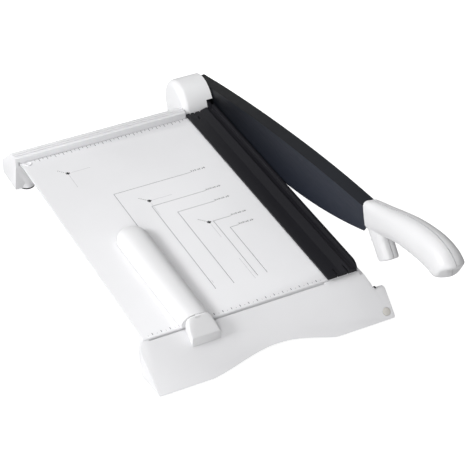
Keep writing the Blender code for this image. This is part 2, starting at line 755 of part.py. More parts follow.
def make_clamp_bar():
    profile = [
        (CLAMP_LEFT, 1.2), (CLAMP_LEFT, 3.6), (-22.3, 3.6), (-12.0, 6.1), (-11.2, 6.1), (-10.4, 5.2),
        (-5.4, 5.2), (-4.4, 7.7), (-3.8, 8.0), (CLAMP_RIGHT, 8.6), (CLAMP_RIGHT, 1.2),
    ]
    bar = prism("clamp_bar", "Y", profile, CLAMP_FRONT, CLAMP_BACK)
    nose = [(-10.0, 0.2)] + list(CLAMP_NOSE) + [(21.0, 20.0), (-10.0, 20.0)]
    cut(bar, prism("nose", "X", nose, -3.9, 5.0))
    follower = [(343.5, 4.0), (349.0, 4.0), (351.5, 7.8), (381.0, 7.8), (381.0, 6.2), (384.5, 6.2)]
    follower += [(384.5, 10.2), (350.8, 10.2)]
    join(bar, prism("follower", "X", follower, -8.8, -4.6))
    cut(bar, box("pad_seat", (-34.3, PAD_Y[0] - 0.3, 0.0), (-15.7, PAD_Y[1] + 0.3, 2.2)))
    for y in PIN_Y:
        cut(bar, turned("hole", "Z", (PIN_X, y), ((0.0, 2.8), (3.9, 2.8)), 20))
    for x, front, back in CLAMP_SLITS:
        cut(bar, box("slit", (x - 0.55, front, 0.0), (x + 0.55, back, 20.0)))
    for x in (-33.5, -27.5, -20.5):
        cut(bar, box("notch", (x - 1.1, CLAMP_BACK - 1.8, 0.0), (x + 1.1, CLAMP_BACK + 1.0, 20.0)))
    return bar


PAD_Y = (12.0, 329.0)


def make_clamp_pad():
    return box("clamp_pad", (-34.0, PAD_Y[0], 0.9), (-16.0, PAD_Y[1], 1.9))


def make_clamp_pin(name, y):
    steps = ((-39.0, 2.0), (-38.5, PIN_RADIUS), (3.6, PIN_RADIUS))
    return turned(name, "Z", (PIN_X, y), steps, 20)


SPRING_TOP = BEAM_LOW - 1.8
SPRING_LOW = -35.3


def make_spring(name, y):
    """A compression spring of round wire: the helix is swept as a closed tube."""
    coil, wire, turns, per_turn, sides = 4.3, 0.45, 4.5, 12, 5
    steps = int(turns * per_turn)
    pitch = (SPRING_TOP - SPRING_LOW - 2.0 * wire - 0.4) / turns
    rings = []
    for i in range(steps + 1):
        angle = 2.0 * math.pi * i / per_turn
        outward = Vector((math.cos(angle), math.sin(angle), 0.0))
        centre = Vector((PIN_X, y, SPRING_LOW + wire + 0.2 + pitch * i / per_turn)) + outward * coil
        rings.append([
            centre + outward * wire * math.cos(2.0 * math.pi * k / sides)
            + Vector((0.0, 0.0, wire * math.sin(2.0 * math.pi * k / sides)))
            for k in range(sides)
        ])
    return solid(name, rings)


def make_guide_bush(name, y):
    steps = ((BEAM_LOW - 1.5, 5.6), (BEAM_LOW - GAP, 5.6), (BEAM_LOW - GAP, 3.6), (-3.2, 3.6))
    bush = turned(name, "Z", (PIN_X, y), steps, 24)
    return cut(bush, turned("bore", "Z", (PIN_X, y), ((-50.0, 2.8), (10.0, 2.8)), 24))


# ---------------------------------------------------------------- the side stop

LEVER_PIVOT = (-4.4, 12.2)
LEVER_KNUCKLE = 1.3
EAR = (-195.5, -190.5)
WEB = (-196.0, -190.0)
LEVER_NOSE = -16.2
STOP_FRONT = -2.8


def stop_ring(y, inset, floor, count):
    """A domed section of the stop at a place along its length."""
    rear = STOP_END - 19.0
    half = (STOP_RIGHT - stop_left(y)) / 2.0
    middle = (STOP_RIGHT + stop_left(y)) / 2.0
    full = 14.5
    if y > rear:
        ratio = math.sqrt(max(0.0, 1.0 - ((y - rear) / (STOP_END - rear)) ** 2))
        half *= max(ratio, 0.12)
        full *= 0.35 + 0.65 * max(ratio, 0.0)
    half -= inset
    full -= inset
    points = [(middle + half, y, floor), (middle + half, y, 2.2)]
    for i in range(1, count):
        angle = math.pi * i / count
        c, s = math.cos(angle), math.sin(angle)
        across = math.copysign(abs(c) ** 0.85, c) * half
        points.append((middle + across, y, 2.2 + (full - 2.2) * s ** 0.85))
    points += [(middle - half, y, 2.2), (middle - half, y, floor)]
    return points


def stop_left(y):
    """The stop is a little wider at its far end."""
    return STOP_LEFT + 3.0 * (1.0 - min(max(y, 0.0), 140.0) / 140.0)


def make_stop_bar():
    rear = STOP_END - 19.0
    stations = [STOP_FRONT, 40.0, 90.0, 140.0, rear]
    stations += [rear + 19.0 * math.sin(math.radians(a)) for a in (15, 30, 45, 58, 70, 80, 87)]
    bar = solid("stop_bar", [stop_ring(y, 0.0, 0.4, 16) for y in stations])
    inside = [stop_ring(y, 2.4, -2.0, 12) for y in (0.0, 40.0, 90.0, 140.0, rear, rear + 8.0, rear + 13.0)]
    hollow = solid("hollow", inside)
    cut(hollow, turned("boss", "Z", (-195.0, 14.0), ((-5.0, 4.5), (20.0, 4.5)), 20))
    cut(bar, hollow)
    cut(bar, box("under_boss", (-206.0, 8.0, -1.0), (-184.0, 20.0, 4.4)))
    cut(bar, box("mouth", (WEB[0] - 0.5, -6.0, -1.0), (WEB[1] + 0.5, 1.0, 4.6)))
    y, z = LEVER_PIVOT
    ear = arc(LEVER_PIVOT, LEVER_KNUCKLE, 90.0, 270.0, 8) + [(-1.5, z - 1.3), (-1.5, z + 1.3)]
    join(bar, prism("ear", "X", ear, *EAR))
    cut(bar, turned("pin_hole", "X", LEVER_PIVOT, ((-220.0, 0.75), (-150.0, 0.75)), 16))
    cut(bar, turned("hole", "Z", (-195.0, 14.0), ((-1.0, 1.7), (10.5, 1.7)), 12))
    return bar


def make_stop_shoe():
    """The slide under the stop: a web in the groove, a foot under the deck and a screwed flange."""
    web = box("stop_shoe", (WEB[0], -1.15, -11.0), (WEB[1], -0.65, 4.1))
    join(web, prism("foot", "X", [(-2.2, -8.8), (-4.6, -11.4), (3.0, -11.4), (3.0, -8.8)], -199.4, -180.0))
    join(web, box("neck", (WEB[0], -1.15, 2.2), (WEB[1], 1.0, 4.1)))
    join(web, box("flange", (-205.0, 0.4, 2.2), (-185.0, 20.0, 4.1)))
    cut(web, turned("hole", "Z", (-195.0, 14.0), ((-5.0, 1.7), (10.0, 1.7)), 12))
    return web


def make_stop_screw():
    steps = ((0.7, 3.0), (1.9, 3.0), (1.9, 1.4), (10.0, 1.4))
    return turned("stop_screw", "Z", (-195.0, 14.0), steps, 16)


def lever_ring(y, inset, steps):
    """The lock lever's section across the trimmer at a place along its length, in X and Z."""
    blend = (y - STOP_FRONT) / (LEVER_NOSE - STOP_FRONT)
    left = STOP_LEFT + 7.4 + 1.6 * blend + inset
    right = STOP_RIGHT - 0.2 + 4.6 * blend ** 1.6 - inset
    top = min(13.5, 13.5 + 1.6 * (y + 4.6)) - inset
    power = 0.62 - 0.34 * blend
    floor = slope_z(y) + 0.8 - (6.0 if inset else 0.0)
    side = min(2.2, top - 3.0) if not inset else floor + 1.0
    middle, half = (left + right) / 2.0, (right - left) / 2.0
    points = [(middle + half, floor), (middle + half, side)]
    for i in range(1, steps):
        angle = math.pi * i / steps
        c, s = math.cos(angle), math.sin(angle)
        across = math.copysign(abs(c) ** power, c) * half
        points.append((middle + across, side + (top - side) * s ** power))
    points += [(middle - half, side), (middle - half, floor)]
    return [(x, y, z) for x, z in points]


def make_stop_lever():
    """The block in front of the stop; it turns up about a thin pin at its upper rear edge."""
    stations = (-3.1, -4.2, -6.0, -9.0, -12.0, -14.6, LEVER_NOSE)
    lever = solid("stop_lever", [lever_ring(y, 0.0, 16) for y in stations])
    inside = [lever_ring(y, 2.0, 12) for y in (-4.6, -7.0, -10.0, -12.6, LEVER_NOSE + 2.2)]
    behind = [(x, -1.0, z) for x, _, z in lever_ring(-4.6, 2.0, 12)]
    lowered = [[(x, y, min(z, 8.6)) for x, y, z in ring] for ring in [behind] + inside]
    cut(lever, solid("hollow", lowered))
    y, z = LEVER_PIVOT
    corner = [(y, z + 8.0)] + arc(LEVER_PIVOT, LEVER_KNUCKLE, 90.0, 0.0, 6) + [(5.0, z), (5.0, z + 8.0)]
    cut(lever, prism("corner", "X", corner, -230.0, -150.0))
    slot = arc(LEVER_PIVOT, 1.7, 90.0, 270.0, 8) + [(2.0, z - 1.7), (2.0, z + 1.7)]
    cut(lever, prism("slot", "X", slot, EAR[0] - 0.3, EAR[1] + 0.3))
    cut(lever, turned("pin_hole", "X", LEVER_PIVOT, ((-199.4, 0.75), (-185.6, 0.75)), 16))
    return lever


def make_stop_pin():
    return turned("stop_pin", "X", LEVER_PIVOT, ((-199.0, 0.45), (-186.0, 0.45)), 16)


# ---------------------------------------------------------------- small parts of the base

def make_foot(name, x, y, radius):
    steps = ((-BED_HEIGHT, radius - 1.0), (-BED_HEIGHT + 0.8, radius - 0.2), (RAIL_BOTTOM - GAP, radius))
    return turned(name, "Z", (x, y), steps, 32)


def make_bed_screw(number, x, y):
    steps = ((-8.2, 3.0), (-6.3, 3.0), (-6.3, 1.5), (-1.4, 1.5))
    return turned("bed_screw_%d" % number, "Z", (x, y), steps, 16)


def make_arm_buffer():
    return box("arm_buffer", (10.0, -15.2, NOTCH_BACK[1] + GAP), (13.4, -12.5, -17.9))


def make_table_plug():
    steps = ((-0.9, PLUG_RADIUS - 0.3), (-0.6, PLUG_RADIUS), (0.05, PLUG_RADIUS), (0.2, PLUG_RADIUS - 0.3))
    return turned("table_plug", "Z", PLUG, steps, 24)


def make_bed_stiffener():
    left, right, low = -142.0, -114.0, -17.0
    outline = [
        (left - 8.0, -2.8), (left - 8.0, -4.3), (left, -4.3), (left, low), (right, low), (right, -4.3),
        (right + 8.0, -4.3), (right + 8.0, -2.8), (right - 1.5, -2.8), (right - 1.5, low + 1.5),
        (left + 1.5, low + 1.5), (left + 1.5, -2.8),
    ]
    return prism("bed_stiffener", "Y", outline, DECK_BACK + 1.0, 333.0)


def make_beam_screw(number, y):
    steps = ((-44.0, 4.0), (-40.3, 4.0), (-40.3, 2.0), (-8.5, 2.0))
    made = turned("beam_screw_%d" % number, "Z", (PIN_X, y), steps, 16)
    return made


def make_rail_screw():
    steps = ((8.6, 4.0), (DECK_BACK - WALL - GAP, 4.0), (DECK_BACK - WALL - GAP, 2.0), (19.0, 2.0))
    return turned("rail_screw", "Y", (-10.0, -12.0), steps, 16)


def make_housing_screw():
    steps = ((386.0, 1.5), (408.6, 1.5), (408.6, 3.2), (410.4, 3.2))
    return turned("housing_screw", "Y", (-20.0, -30.0), steps, 16)


# ---------------------------------------------------------------- the assembly

def build():
    clear_scene()
    frame = bpy.data.objects.new("trimmer", None)
    bpy.context.scene.collection.objects.link(frame)
    zero = (0.0, 0.0, 0.0)
    pivot = (0.0, PIVOT_Y, PIVOT_Z)
    clamp_origin = (PIN_X, PIN_Y[0], 0.0)
    stop_origin = (-191.0, -2.3, 0.0)
    lever_origin = (-191.0, LEVER_PIVOT[0], LEVER_PIVOT[1])
    arm = make_body("arm_pivot", pivot, frame)
    arm.rotation_euler = (-REST_ANGLE, 0.0, 0.0)
    clamp = make_body("clamp_slide", clamp_origin, frame)
    stop = make_body("stop_slide", stop_origin, frame)
    lever = make_body("lever_pivot", Vector(lever_origin) - Vector(stop_origin), stop)

    white = plastic("white_plastic", WHITE, 0.38)
    bed_paint = plastic("bed_paint", SHADE_WHITE, 0.45)
    handle_white = plastic("handle_white", WHITE, 0.3)
    black = plastic("black_plastic", BLACK, 0.4)
    blue_black = plastic("blue_black_paint", BLUE_BLACK, 0.32)
    rubber = plastic("rubber", RUBBER, 0.8)
    steel = metal("steel", STEEL, 0.3)
    dark_steel = metal("dark_steel", DARK_STEEL, 0.4)
    bronze = metal("bronze", BRONZE, 0.35)
    cover = plastic("cover", (0.80, 0.77, 0.70), 0.5)

    fit(make_table_bed(), frame, zero, bed_paint)
    fit(make_front_rail(), frame, zero, white)
    fit(make_rear_rail(), frame, zero, white)
    fit(make_drum_housing(), frame, zero, white)
    fit(make_edge_beam(), frame, zero, dark_steel)
    fit(make_lower_blade(), frame, zero, steel)
    fit(make_pivot_bracket(), frame, zero, dark_steel)
    fit(make_pivot_bush(), frame, zero, bronze)
    fit(make_bed_stiffener(), frame, zero, dark_steel)
    fit(make_arm_buffer(), frame, zero, rubber)
    fit(make_table_plug(), frame, zero, white)
    fit(cover_disc("screw_cover", COVER_RADIUS, 0.6, 0.25), frame, zero, cover)
    fit(make_rail_screw(), frame, zero, steel)
    fit(make_housing_screw(), frame, zero, steel)
    for number, y in enumerate(BLADE_SCREW_Y, 1):
        fit(make_blade_seat_screw(number, y), frame, zero, steel)
    for number, y in enumerate(BEAM_SCREW_Y, 1):
        fit(make_beam_screw(number, y), frame, zero, steel)
    bed_screws = [(x, y) for y in (BED_SCREW_FRONT, BED_SCREW_REAR) for x in BED_SCREW_X]
    for number, (x, y) in enumerate(bed_screws, 1):
        fit(make_bed_screw(number, x, y), frame, zero, steel)
    rear = REAR_FOOT_RADIUS
    feet = (
        ("foot_front_left", FOOT_X[0], FRONT_FOOT_Y, 7.8), ("foot_front_right", FOOT_X[1], FRONT_FOOT_Y, 7.8),
        ("foot_rear_left", REAR_FOOT_LEFT_X, REAR_FOOT_Y, rear),
        ("foot_rear_right", REAR_FOOT_RIGHT_X, REAR_FOOT_Y, rear),
    )
    for name, x, y, radius in feet:
        fit(make_foot(name, x, y, radius), frame, zero, rubber)
    for name, y in zip(("guide_bush_front", "guide_bush_rear"), PIN_Y):
        fit(make_guide_bush(name, y), frame, zero, bronze)

    fit(make_arm_beam(), arm, zero, blue_black)
    fit(make_upper_blade(), arm, zero, blue_black)
    fit(make_pivot_shaft(), arm, zero, steel)
    fit(make_pivot_nut(), arm, zero, steel)
    fit(make_spring_washer(), arm, zero, steel)
    fit(make_pivot_cap(), arm, zero, black)
    fit(make_clamp_cam(), arm, zero, steel)
    fit(make_handle_shell("handle_shell_inner", -1), arm, zero, handle_white)
    fit(make_handle_shell("handle_shell_outer", 1), arm, zero, handle_white)
    for number, (u, v) in enumerate(ARM_SCREWS, 1):
        fit(make_knife_screw(number, u, v), arm, zero, dark_steel)
    for number, (u, v, _) in enumerate(HANDLE_SCREWS, 1):
        fit(make_handle_screw(number, u, v), arm, zero, steel)

    fit(make_clamp_bar(), clamp, clamp_origin, black)
    fit(make_clamp_pad(), clamp, clamp_origin, rubber)
    for place, y in zip(("front", "rear"), PIN_Y):
        fit(make_clamp_pin("clamp_pin_" + place, y), clamp, clamp_origin, steel)
        clip = ring("clamp_clip_" + place, "Z", (PIN_X, y), 2.8, 5.6, SPRING_LOW - 1.2, SPRING_LOW - GAP, 24)
        fit(clip, clamp, clamp_origin, steel)
        fit(make_spring("clamp_spring_" + place, y), clamp, clamp_origin, steel)

    fit(make_stop_bar(), stop, stop_origin, white)
    fit(make_stop_shoe(), stop, stop_origin, dark_steel)
    fit(make_stop_screw(), stop, stop_origin, steel)
    fit(make_stop_lever(), lever, lever_origin, white)
    fit(make_stop_pin(), lever, lever_origin, steel)

    centre_on_floor(frame)


def centre_on_floor(frame):
    """Move the assembly so that the world origin is the bottom centre of its bounding box."""
    bpy.context.view_layer.update()
    corners = []
    for made in bpy.data.objects:
        if made.type == "MESH":
            corners += [made.matrix_world @ vertex.co for vertex in made.data.vertices]
    low = [min(c[i] for c in corners) for i in range(3)]
    high = [max(c[i] for c in corners) for i in range(3)]
    frame.location = (-(low[0] + high[0]) / 2.0, -(low[1] + high[1]) / 2.0, -low[2])
    bpy.context.view_layer.update()


build()
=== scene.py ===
"""The look of the lever paper trimmer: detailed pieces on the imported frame, materials, light and camera.

Shapes are written in the trimmer's design frame, in millimetres: X = 0 on the cutting plane, Y = 0 on the
table's front edge, Z = 0 on the table's top.  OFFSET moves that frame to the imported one.
"""
import json
import math

import bmesh
import bpy
from mathutils import Matrix, Vector


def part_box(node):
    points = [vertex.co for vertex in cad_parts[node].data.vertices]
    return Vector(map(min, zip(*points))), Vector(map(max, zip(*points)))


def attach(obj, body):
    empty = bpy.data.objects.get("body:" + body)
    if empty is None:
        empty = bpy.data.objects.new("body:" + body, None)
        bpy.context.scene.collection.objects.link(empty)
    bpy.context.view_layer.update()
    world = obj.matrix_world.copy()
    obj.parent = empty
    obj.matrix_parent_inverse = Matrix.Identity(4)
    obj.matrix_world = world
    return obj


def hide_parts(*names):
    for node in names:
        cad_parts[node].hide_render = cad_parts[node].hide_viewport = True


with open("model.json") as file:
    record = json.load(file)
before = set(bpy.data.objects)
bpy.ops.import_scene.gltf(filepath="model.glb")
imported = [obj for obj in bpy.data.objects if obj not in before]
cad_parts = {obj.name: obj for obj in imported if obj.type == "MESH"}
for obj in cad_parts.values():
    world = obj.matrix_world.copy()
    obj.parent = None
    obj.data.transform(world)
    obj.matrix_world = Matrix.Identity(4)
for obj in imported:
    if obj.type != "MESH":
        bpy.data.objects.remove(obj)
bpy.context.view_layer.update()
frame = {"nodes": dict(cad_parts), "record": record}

MM = 0.001
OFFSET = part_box("table_bed")[0] / MM - Vector((-252.0, 0.0, -2.5))
PIVOT = Vector((0.0, 381.0, -2.0))
REST_ANGLE = math.radians(9.5)

# ---------------------------------------------------------------- outlines


def arc(centre, radius, start, end, steps):
    points = []
    for i in range(steps + 1):
        angle = math.radians(start + (end - start) * i / steps)
        points.append((centre[0] + radius * math.cos(angle), centre[1] + radius * math.sin(angle)))
    return points


def circle(centre, radius, steps):
    return arc(centre, radius, 0.0, 360.0, steps)[:-1]


def rectangle(low, high):
    return [(low[0], low[1]), (high[0], low[1]), (high[0], high[1]), (low[0], high[1])]


def rounded(outline, radii, steps=6):
    """Round an outline's corners: radii holds one radius for each corner, 0 for a sharp one."""
    points = []
    count = len(outline)
    for i, corner in enumerate(outline):
        here = Vector(corner)
        if radii[i] == 0.0:
            points.append(tuple(here))
            continue
        before = (Vector(outline[i - 1]) - here).normalized()
        after = (Vector(outline[(i + 1) % count]) - here).normalized()
        half = before.angle(after) / 2.0
        reach = radii[i] / math.tan(half)
        centre = here + (before + after).normalized() * (radii[i] / math.sin(half))
        first = here + before * reach - centre
        last = here + after * reach - centre
        for k in range(steps + 1):
            points.append(tuple(centre + first.slerp(last, k / steps).normalized() * radii[i]))
    return points


def hull(points):
    ordered = sorted(set(points))

    def half(sequence):
        chain = []
        for p in sequence:
            while len(chain) > 1:
                a, b = chain[-2], chain[-1]
                if (b[0] - a[0]) * (p[1] - a[1]) - (b[1] - a[1]) * (p[0] - a[0]) > 1e-9:
                    break
                chain.pop()
            chain.append(p)
        return chain[:-1]

    return half(ordered) + half(ordered[::-1])


# ---------------------------------------------------------------- solids


def link(name, mesh):
    made = bpy.data.objects.new(name, mesh)
    bpy.context.scene.collection.objects.link(made)
    return made


def solid(name, rings):
    bm = bmesh.new()
    loops = [[bm.verts.new(Vector(p) * MM) for p in ring] for ring in rings]
    for low, high in zip(loops, loops[1:]):
        for i in range(len(low)):
            k = (i + 1) % len(low)
            bm.faces.new((low[i], low[k], high[k], high[i]))
    bm.faces.new(loops[0][::-1])
    bm.faces.new(loops[-1])
    bmesh.ops.recalc_face_normals(bm, faces=bm.faces)
    mesh = bpy.data.meshes.new(name)
    bm.to_mesh(mesh)
    bm.free()
    return link(name, mesh)


def along(axis, position, point):
    if axis == "X":
        return (position, point[0], point[1])
    if axis == "Y":
        return (point[0], position, point[1])
    return (point[0], point[1], position)


def prism(name, axis, outline, start, end):
    return solid(name, [[along(axis, s, p) for p in outline] for s in (start, end)])


def box(name, low, high):
    return prism(name, "Z", rectangle(low[:2], high[:2]), low[2], high[2])


def turned(name, axis, centre, steps, count=64):
    rings = [[along(axis, s, p) for p in circle(centre, r, count)] for s, r in steps]
    return solid(name, rings)


def apply_modifiers(made):
    bpy.context.view_layer.update()
    graph = bpy.context.evaluated_depsgraph_get()
    mesh = bpy.data.meshes.new_from_object(made.evaluated_get(graph))
    made.modifiers.clear()
    made.data = mesh
    return made


def combine(made, other, operation):
    modifier = made.modifiers.new("shape", "BOOLEAN")
    modifier.operation = operation
    modifier.solver = "EXACT"
    modifier.object = other
    apply_modifiers(made)
    bpy.data.objects.remove(other)
    return made


def cut(made, *tools):
    for tool in tools:
        combine(made, tool, "DIFFERENCE")
    return made


def join(made, *others):
    for other in others:
        combine(made, other, "UNION")
    return made


def keep(made, *others):
    for other in others:
        combine(made, other, "INTERSECT")
    return made


def merge(made, other):
    """Put two closed meshes in one, for a remesh to fuse them."""
    bm = bmesh.new()
    bm.from_mesh(made.data)
    bm.from_mesh(other.data)
    bm.to_mesh(made.data)
    bm.free()
    bpy.data.objects.remove(other)
    return made


def soften(made, width, segments=3, angle=32.0):
    """Round a piece's edges with a real bevel."""
    modifier = made.modifiers.new("edges", "BEVEL")
    modifier.width = width * MM
    modifier.segments = segments
    modifier.limit_method = "ANGLE"
    modifier.angle_limit = math.radians(angle)
    modifier.miter_outer = "MITER_ARC"
    return apply_modifiers(made)


ARM_FRAME = Matrix.Translation(PIVOT * MM) @ Matrix.Rotation(-REST_ANGLE, 4, "X")


def place(made, body, material, nodes=(), in_arm=False, sharp=32.0):
    """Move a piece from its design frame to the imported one, ride it on its body and finish it."""
    if in_arm:
        made.data.transform(ARM_FRAME)
    made.data.transform(Matrix.Translation(OFFSET * MM))
    made.data.materials.clear()
    made.data.materials.append(material)
    made.data.shade_smooth()
    made.data.set_sharp_from_angle(angle=math.radians(sharp))
    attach(made, body)
    if nodes:
        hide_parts(*nodes)
    return made


# ---------------------------------------------------------------- materials


def base_material(name, colour, roughness, metallic=0.0):
    material = bpy.data.materials.new(name)
    material.use_nodes = True
    nodes = material.node_tree.nodes
    shader = nodes["Principled BSDF"]
    shader.inputs["Base Color"].default_value = (*colour, 1.0)
    shader.inputs["Roughness"].default_value = roughness
    shader.inputs["Metallic"].default_value = metallic
    return material, nodes, material.node_tree.links, shader


def coordinates(nodes, links, scale=(1.0, 1.0, 1.0)):
    place_node = nodes.new("ShaderNodeTexCoord")
    mapping = nodes.new("ShaderNodeMapping")
    mapping.inputs["Scale"].default_value = scale
    links.new(place_node.outputs["Object"], mapping.inputs["Vector"])
    return mapping.outputs["Vector"]


def noise(nodes, links, vector, scale, detail=3.0, rough=0.5):
    node = nodes.new("ShaderNodeTexNoise")
    node.inputs["Scale"].default_value = scale
    node.inputs["Detail"].default_value = detail
    node.inputs["Roughness"].default_value = rough
    links.new(vector, node.inputs["Vector"])
    return node.outputs["Fac"]


def spread(nodes, links, value, low, high, start=0.3, end=0.7):
    """Map a noise value to a range, for a shader's number."""
    node = nodes.new("ShaderNodeMapRange")
    node.inputs["From Min"].default_value = start
    node.inputs["From Max"].default_value = end
    node.inputs["To Min"].default_value = low
    node.inputs["To Max"].default_value = high
    links.new(value, node.inputs["Value"])
    return node.outputs["Result"]


def two_tone(nodes, links, value, first, second, start=0.3, end=0.7):
    ramp = nodes.new("ShaderNodeValToRGB")
    ramp.color_ramp.elements[0].position = start
    ramp.color_ramp.elements[0].color = (*first, 1.0)
    ramp.color_ramp.elements[1].position = end
    ramp.color_ramp.elements[1].color = (*second, 1.0)
    links.new(value, ramp.inputs["Fac"])
    return ramp.outputs["Color"]


def bump(nodes, links, shader, height, distance, strength=1.0):
    node = nodes.new("ShaderNodeBump")
    node.inputs["Distance"].default_value = distance
    node.inputs["Strength"].default_value = strength
    links.new(height, node.inputs["Height"])
    links.new(node.outputs["Normal"], shader.inputs["Normal"])
    return node


def moulded(name, colour, roughness, grain=900.0, depth=0.00003, shade=0.97, shine=0.5):
    """Moulded plastic or powder coat: fine grain, faint shade and gloss variation."""
    material, nodes, links, shader = base_material(name, colour, roughness)
    vector = coordinates(nodes, links)
    broad = noise(nodes, links, vector, 14.0, 2.0)
    darker = tuple(c * shade for c in colour)
    links.new(two_tone(nodes, links, broad, darker, colour), shader.inputs["Base Color"])
    fine = noise(nodes, links, vector, grain, 2.0)
    gloss = spread(nodes, links, noise(nodes, links, vector, 90.0, 3.0), roughness - 0.04, roughness + 0.05)
    links.new(gloss, shader.inputs["Roughness"])
    bump(nodes, links, shader, fine, depth, 0.6)
    shader.inputs["Specular IOR Level"].default_value = shine
    return material


def brushed(name, colour, roughness, stretch, metallic=1.0, depth=0.00002, shine=0.5):
    """Drawn or ground metal: fine lines along one axis."""
    material, nodes, links, shader = base_material(name, colour, roughness, metallic)
    vector = coordinates(nodes, links, stretch)
    lines = noise(nodes, links, vector, 900.0, 4.0, 0.6)
    darker = tuple(c * 0.82 for c in colour)
    links.new(two_tone(nodes, links, lines, darker, colour), shader.inputs["Base Color"])
    links.new(spread(nodes, links, lines, roughness - 0.06, roughness + 0.08), shader.inputs["Roughness"])
    shader.inputs["Specular IOR Level"].default_value = shine
    bump(nodes, links, shader, lines, depth, 0.5)
    return material


white = moulded("white moulding", (0.80, 0.80, 0.815), 0.45)
drum_white = moulded("housing moulding", (0.80, 0.802, 0.812), 0.42)
bed_paint = moulded("table powder coat", (0.785, 0.785, 0.80), 0.5, 700.0, 0.00004)
handle_white = moulded("grip moulding", (0.70, 0.70, 0.71), 0.36, 1100.0, 0.00002, 0.985)
stop_white = moulded("stop moulding", (0.79, 0.79, 0.80), 0.40, 1000.0, 0.00002, 0.985)
clamp_black = brushed("black clamp extrusion", (0.0095, 0.0093, 0.0125), 0.40, (1.0, 0.02, 1.0), 0.0,
                      shine=0.22)
arm_paint = moulded("blue-black arm paint", (0.0125, 0.016, 0.026), 0.42, 1300.0, 0.00003, 0.85, 0.25)
knife_black = brushed("blue-black knife coat", (0.015, 0.019, 0.031), 0.45, (1.0, 0.05, 1.0), 0.0,
                      shine=0.25)


def dimmed(material, make_factor):
    """Multiply a material's base colour by a number from its own nodes."""
    nodes, links = material.node_tree.nodes, material.node_tree.links
    colour = nodes["Principled BSDF"].inputs["Base Color"]
    tone = nodes.new("ShaderNodeVectorMath")
    tone.operation = "SCALE"
    links.new(colour.links[0].from_socket, tone.inputs[0])
    links.new(make_factor(nodes, links), tone.inputs["Scale"])
    links.new(tone.outputs["Vector"], colour)


def painted_reflection_along_arm(front, rear):
    """Painted reflection: base colour darker towards the pivot, standing in for the arm reflecting less of
    the studio there.
    """
    def factor(nodes, links):
        place_node = nodes.new("ShaderNodeSeparateXYZ")
        links.new(coordinates(nodes, links), place_node.inputs["Vector"])
        return spread(nodes, links, place_node.outputs["Y"], front, rear, -0.05, 0.22)
    return factor


# Painted reflection: the arm's paint and the knife's coat get a base colour that darkens towards the pivot.
dimmed(arm_paint, painted_reflection_along_arm(0.4, 0.1))
dimmed(knife_black, painted_reflection_along_arm(1.0, 0.2))
rubber = moulded("black rubber", (0.006, 0.006, 0.007), 0.8, 500.0, 0.00008, 0.7, 0.15)
steel = brushed("zinc-plated steel", (0.62, 0.62, 0.64), 0.32, (1.0, 0.1, 1.0))
dark_steel = brushed("blackened steel", (0.10, 0.10, 0.11), 0.42, (1.0, 0.1, 1.0))
bronze = brushed("sintered bronze", (0.50, 0.34, 0.18), 0.40, (1.0, 1.0, 0.2))
black_plastic = moulded("black moulding", (0.022, 0.022, 0.026), 0.42, 900.0, 0.00003, 0.8)
cover_grey = moulded("screw cover", (0.66, 0.64, 0.60), 0.5, 900.0, 0.00003, 0.9)
ink = moulded("grey printing ink", (0.16, 0.16, 0.18), 0.6, 1500.0, 0.00001, 0.8)
black_ink = moulded("black printing ink", (0.03, 0.03, 0.035), 0.6, 1500.0, 0.00001, 0.8)
pale_ink = moulded("pale printing ink", (0.42, 0.42, 0.44), 0.6, 1500.0, 0.00001, 0.9)

SLOT_LOOK = {
    "white_plastic": white,
    "bed_paint": bed_paint,
    "handle_white": handle_white,
    "black_plastic": black_plastic,
    "black_anodised": clamp_black,
    "arm_paint": arm_paint,
    "knife_steel": knife_black,
    "rubber": rubber,
    "steel": steel,
    "dark_steel": dark_steel,
    "bronze": bronze,
    "cover": cover_grey,
}
for entry in frame["record"]["subparts"]:
    for slot_entry in frame["nodes"][entry["node"]].material_slots:
        slot_entry.material = SLOT_LOOK[entry["material_slot"]]

# ---------------------------------------------------------------- the table and its printed marks

PLUG = (-244.3, 342.1)

table_profile = [(346.5, -2.5), (346.5, 0.0), (2.2, 0.0)]
table_profile += arc((2.2, -2.2), 2.2, 95.0, 178.0, 12) + [(0.0, -2.3), (0.3, -2.5)]
table = prism("table_top", "X", table_profile, -252.0, -3.0)
soften(table, 0.35, 2, 50.0)
for pin_y in (24.0, 325.0):
    cut(table, turned("hole", "Z", (-10.0, pin_y), ((-5.0, 4.2), (3.0, 4.2)), 24))
cut(table, turned("hole", "Z", PLUG, ((-1.2, 4.5), (3.0, 4.5))))
place(table, "base", bed_paint, ("table_bed",))
plug_steps = ((-0.9, 4.2), (0.5, 4.2), (0.8, 3.9), (0.8, 3.3), (0.1, 2.7), (0.1, 0.5))
plug = turned("table_plug", "Z", PLUG, plug_steps)
place(plug, "base", white, ("table_plug",))

INK = (0.005, 0.05)


def mark(bm, ax, ay, bx, by, width):
    """A printed line from a to b, as a thin layer of ink on the table."""
    run = Vector((bx - ax, by - ay, 0.0))
    side = Vector((-run.y, run.x, 0.0)).normalized() * width / 2.0
    a, b = Vector((ax, ay, 0.0)), Vector((bx, by, 0.0))
    low, high = INK
    corners = [a - side, b - side, b + side, a + side]
    bottom = [bm.verts.new((c + Vector((0, 0, low))) * MM) for c in corners]
    top = [bm.verts.new((c + Vector((0, 0, high))) * MM) for c in corners]
    bm.faces.new(bottom[::-1])
    bm.faces.new(top)
    for i in range(4):
        k = (i + 1) % 4
        bm.faces.new((bottom[i], bottom[k], top[k], top[i]))


def printed(name, lines, material):
    bm = bmesh.new()
    for line in lines:
        mark(bm, *line)
    mesh = bpy.data.meshes.new(name)
    bm.to_mesh(mesh)
    bm.free()
    return place(link(name, mesh), "base", material)


def rear_ruler():
    """Centimetre and half-centimetre ticks along the rear fence."""
    lines = []
    for half in range(9, 48):
        x = -half * 5.0
        lines.append((x, 346.4, x, 341.2 if half % 2 == 0 else 343.8, 0.55))
    return lines


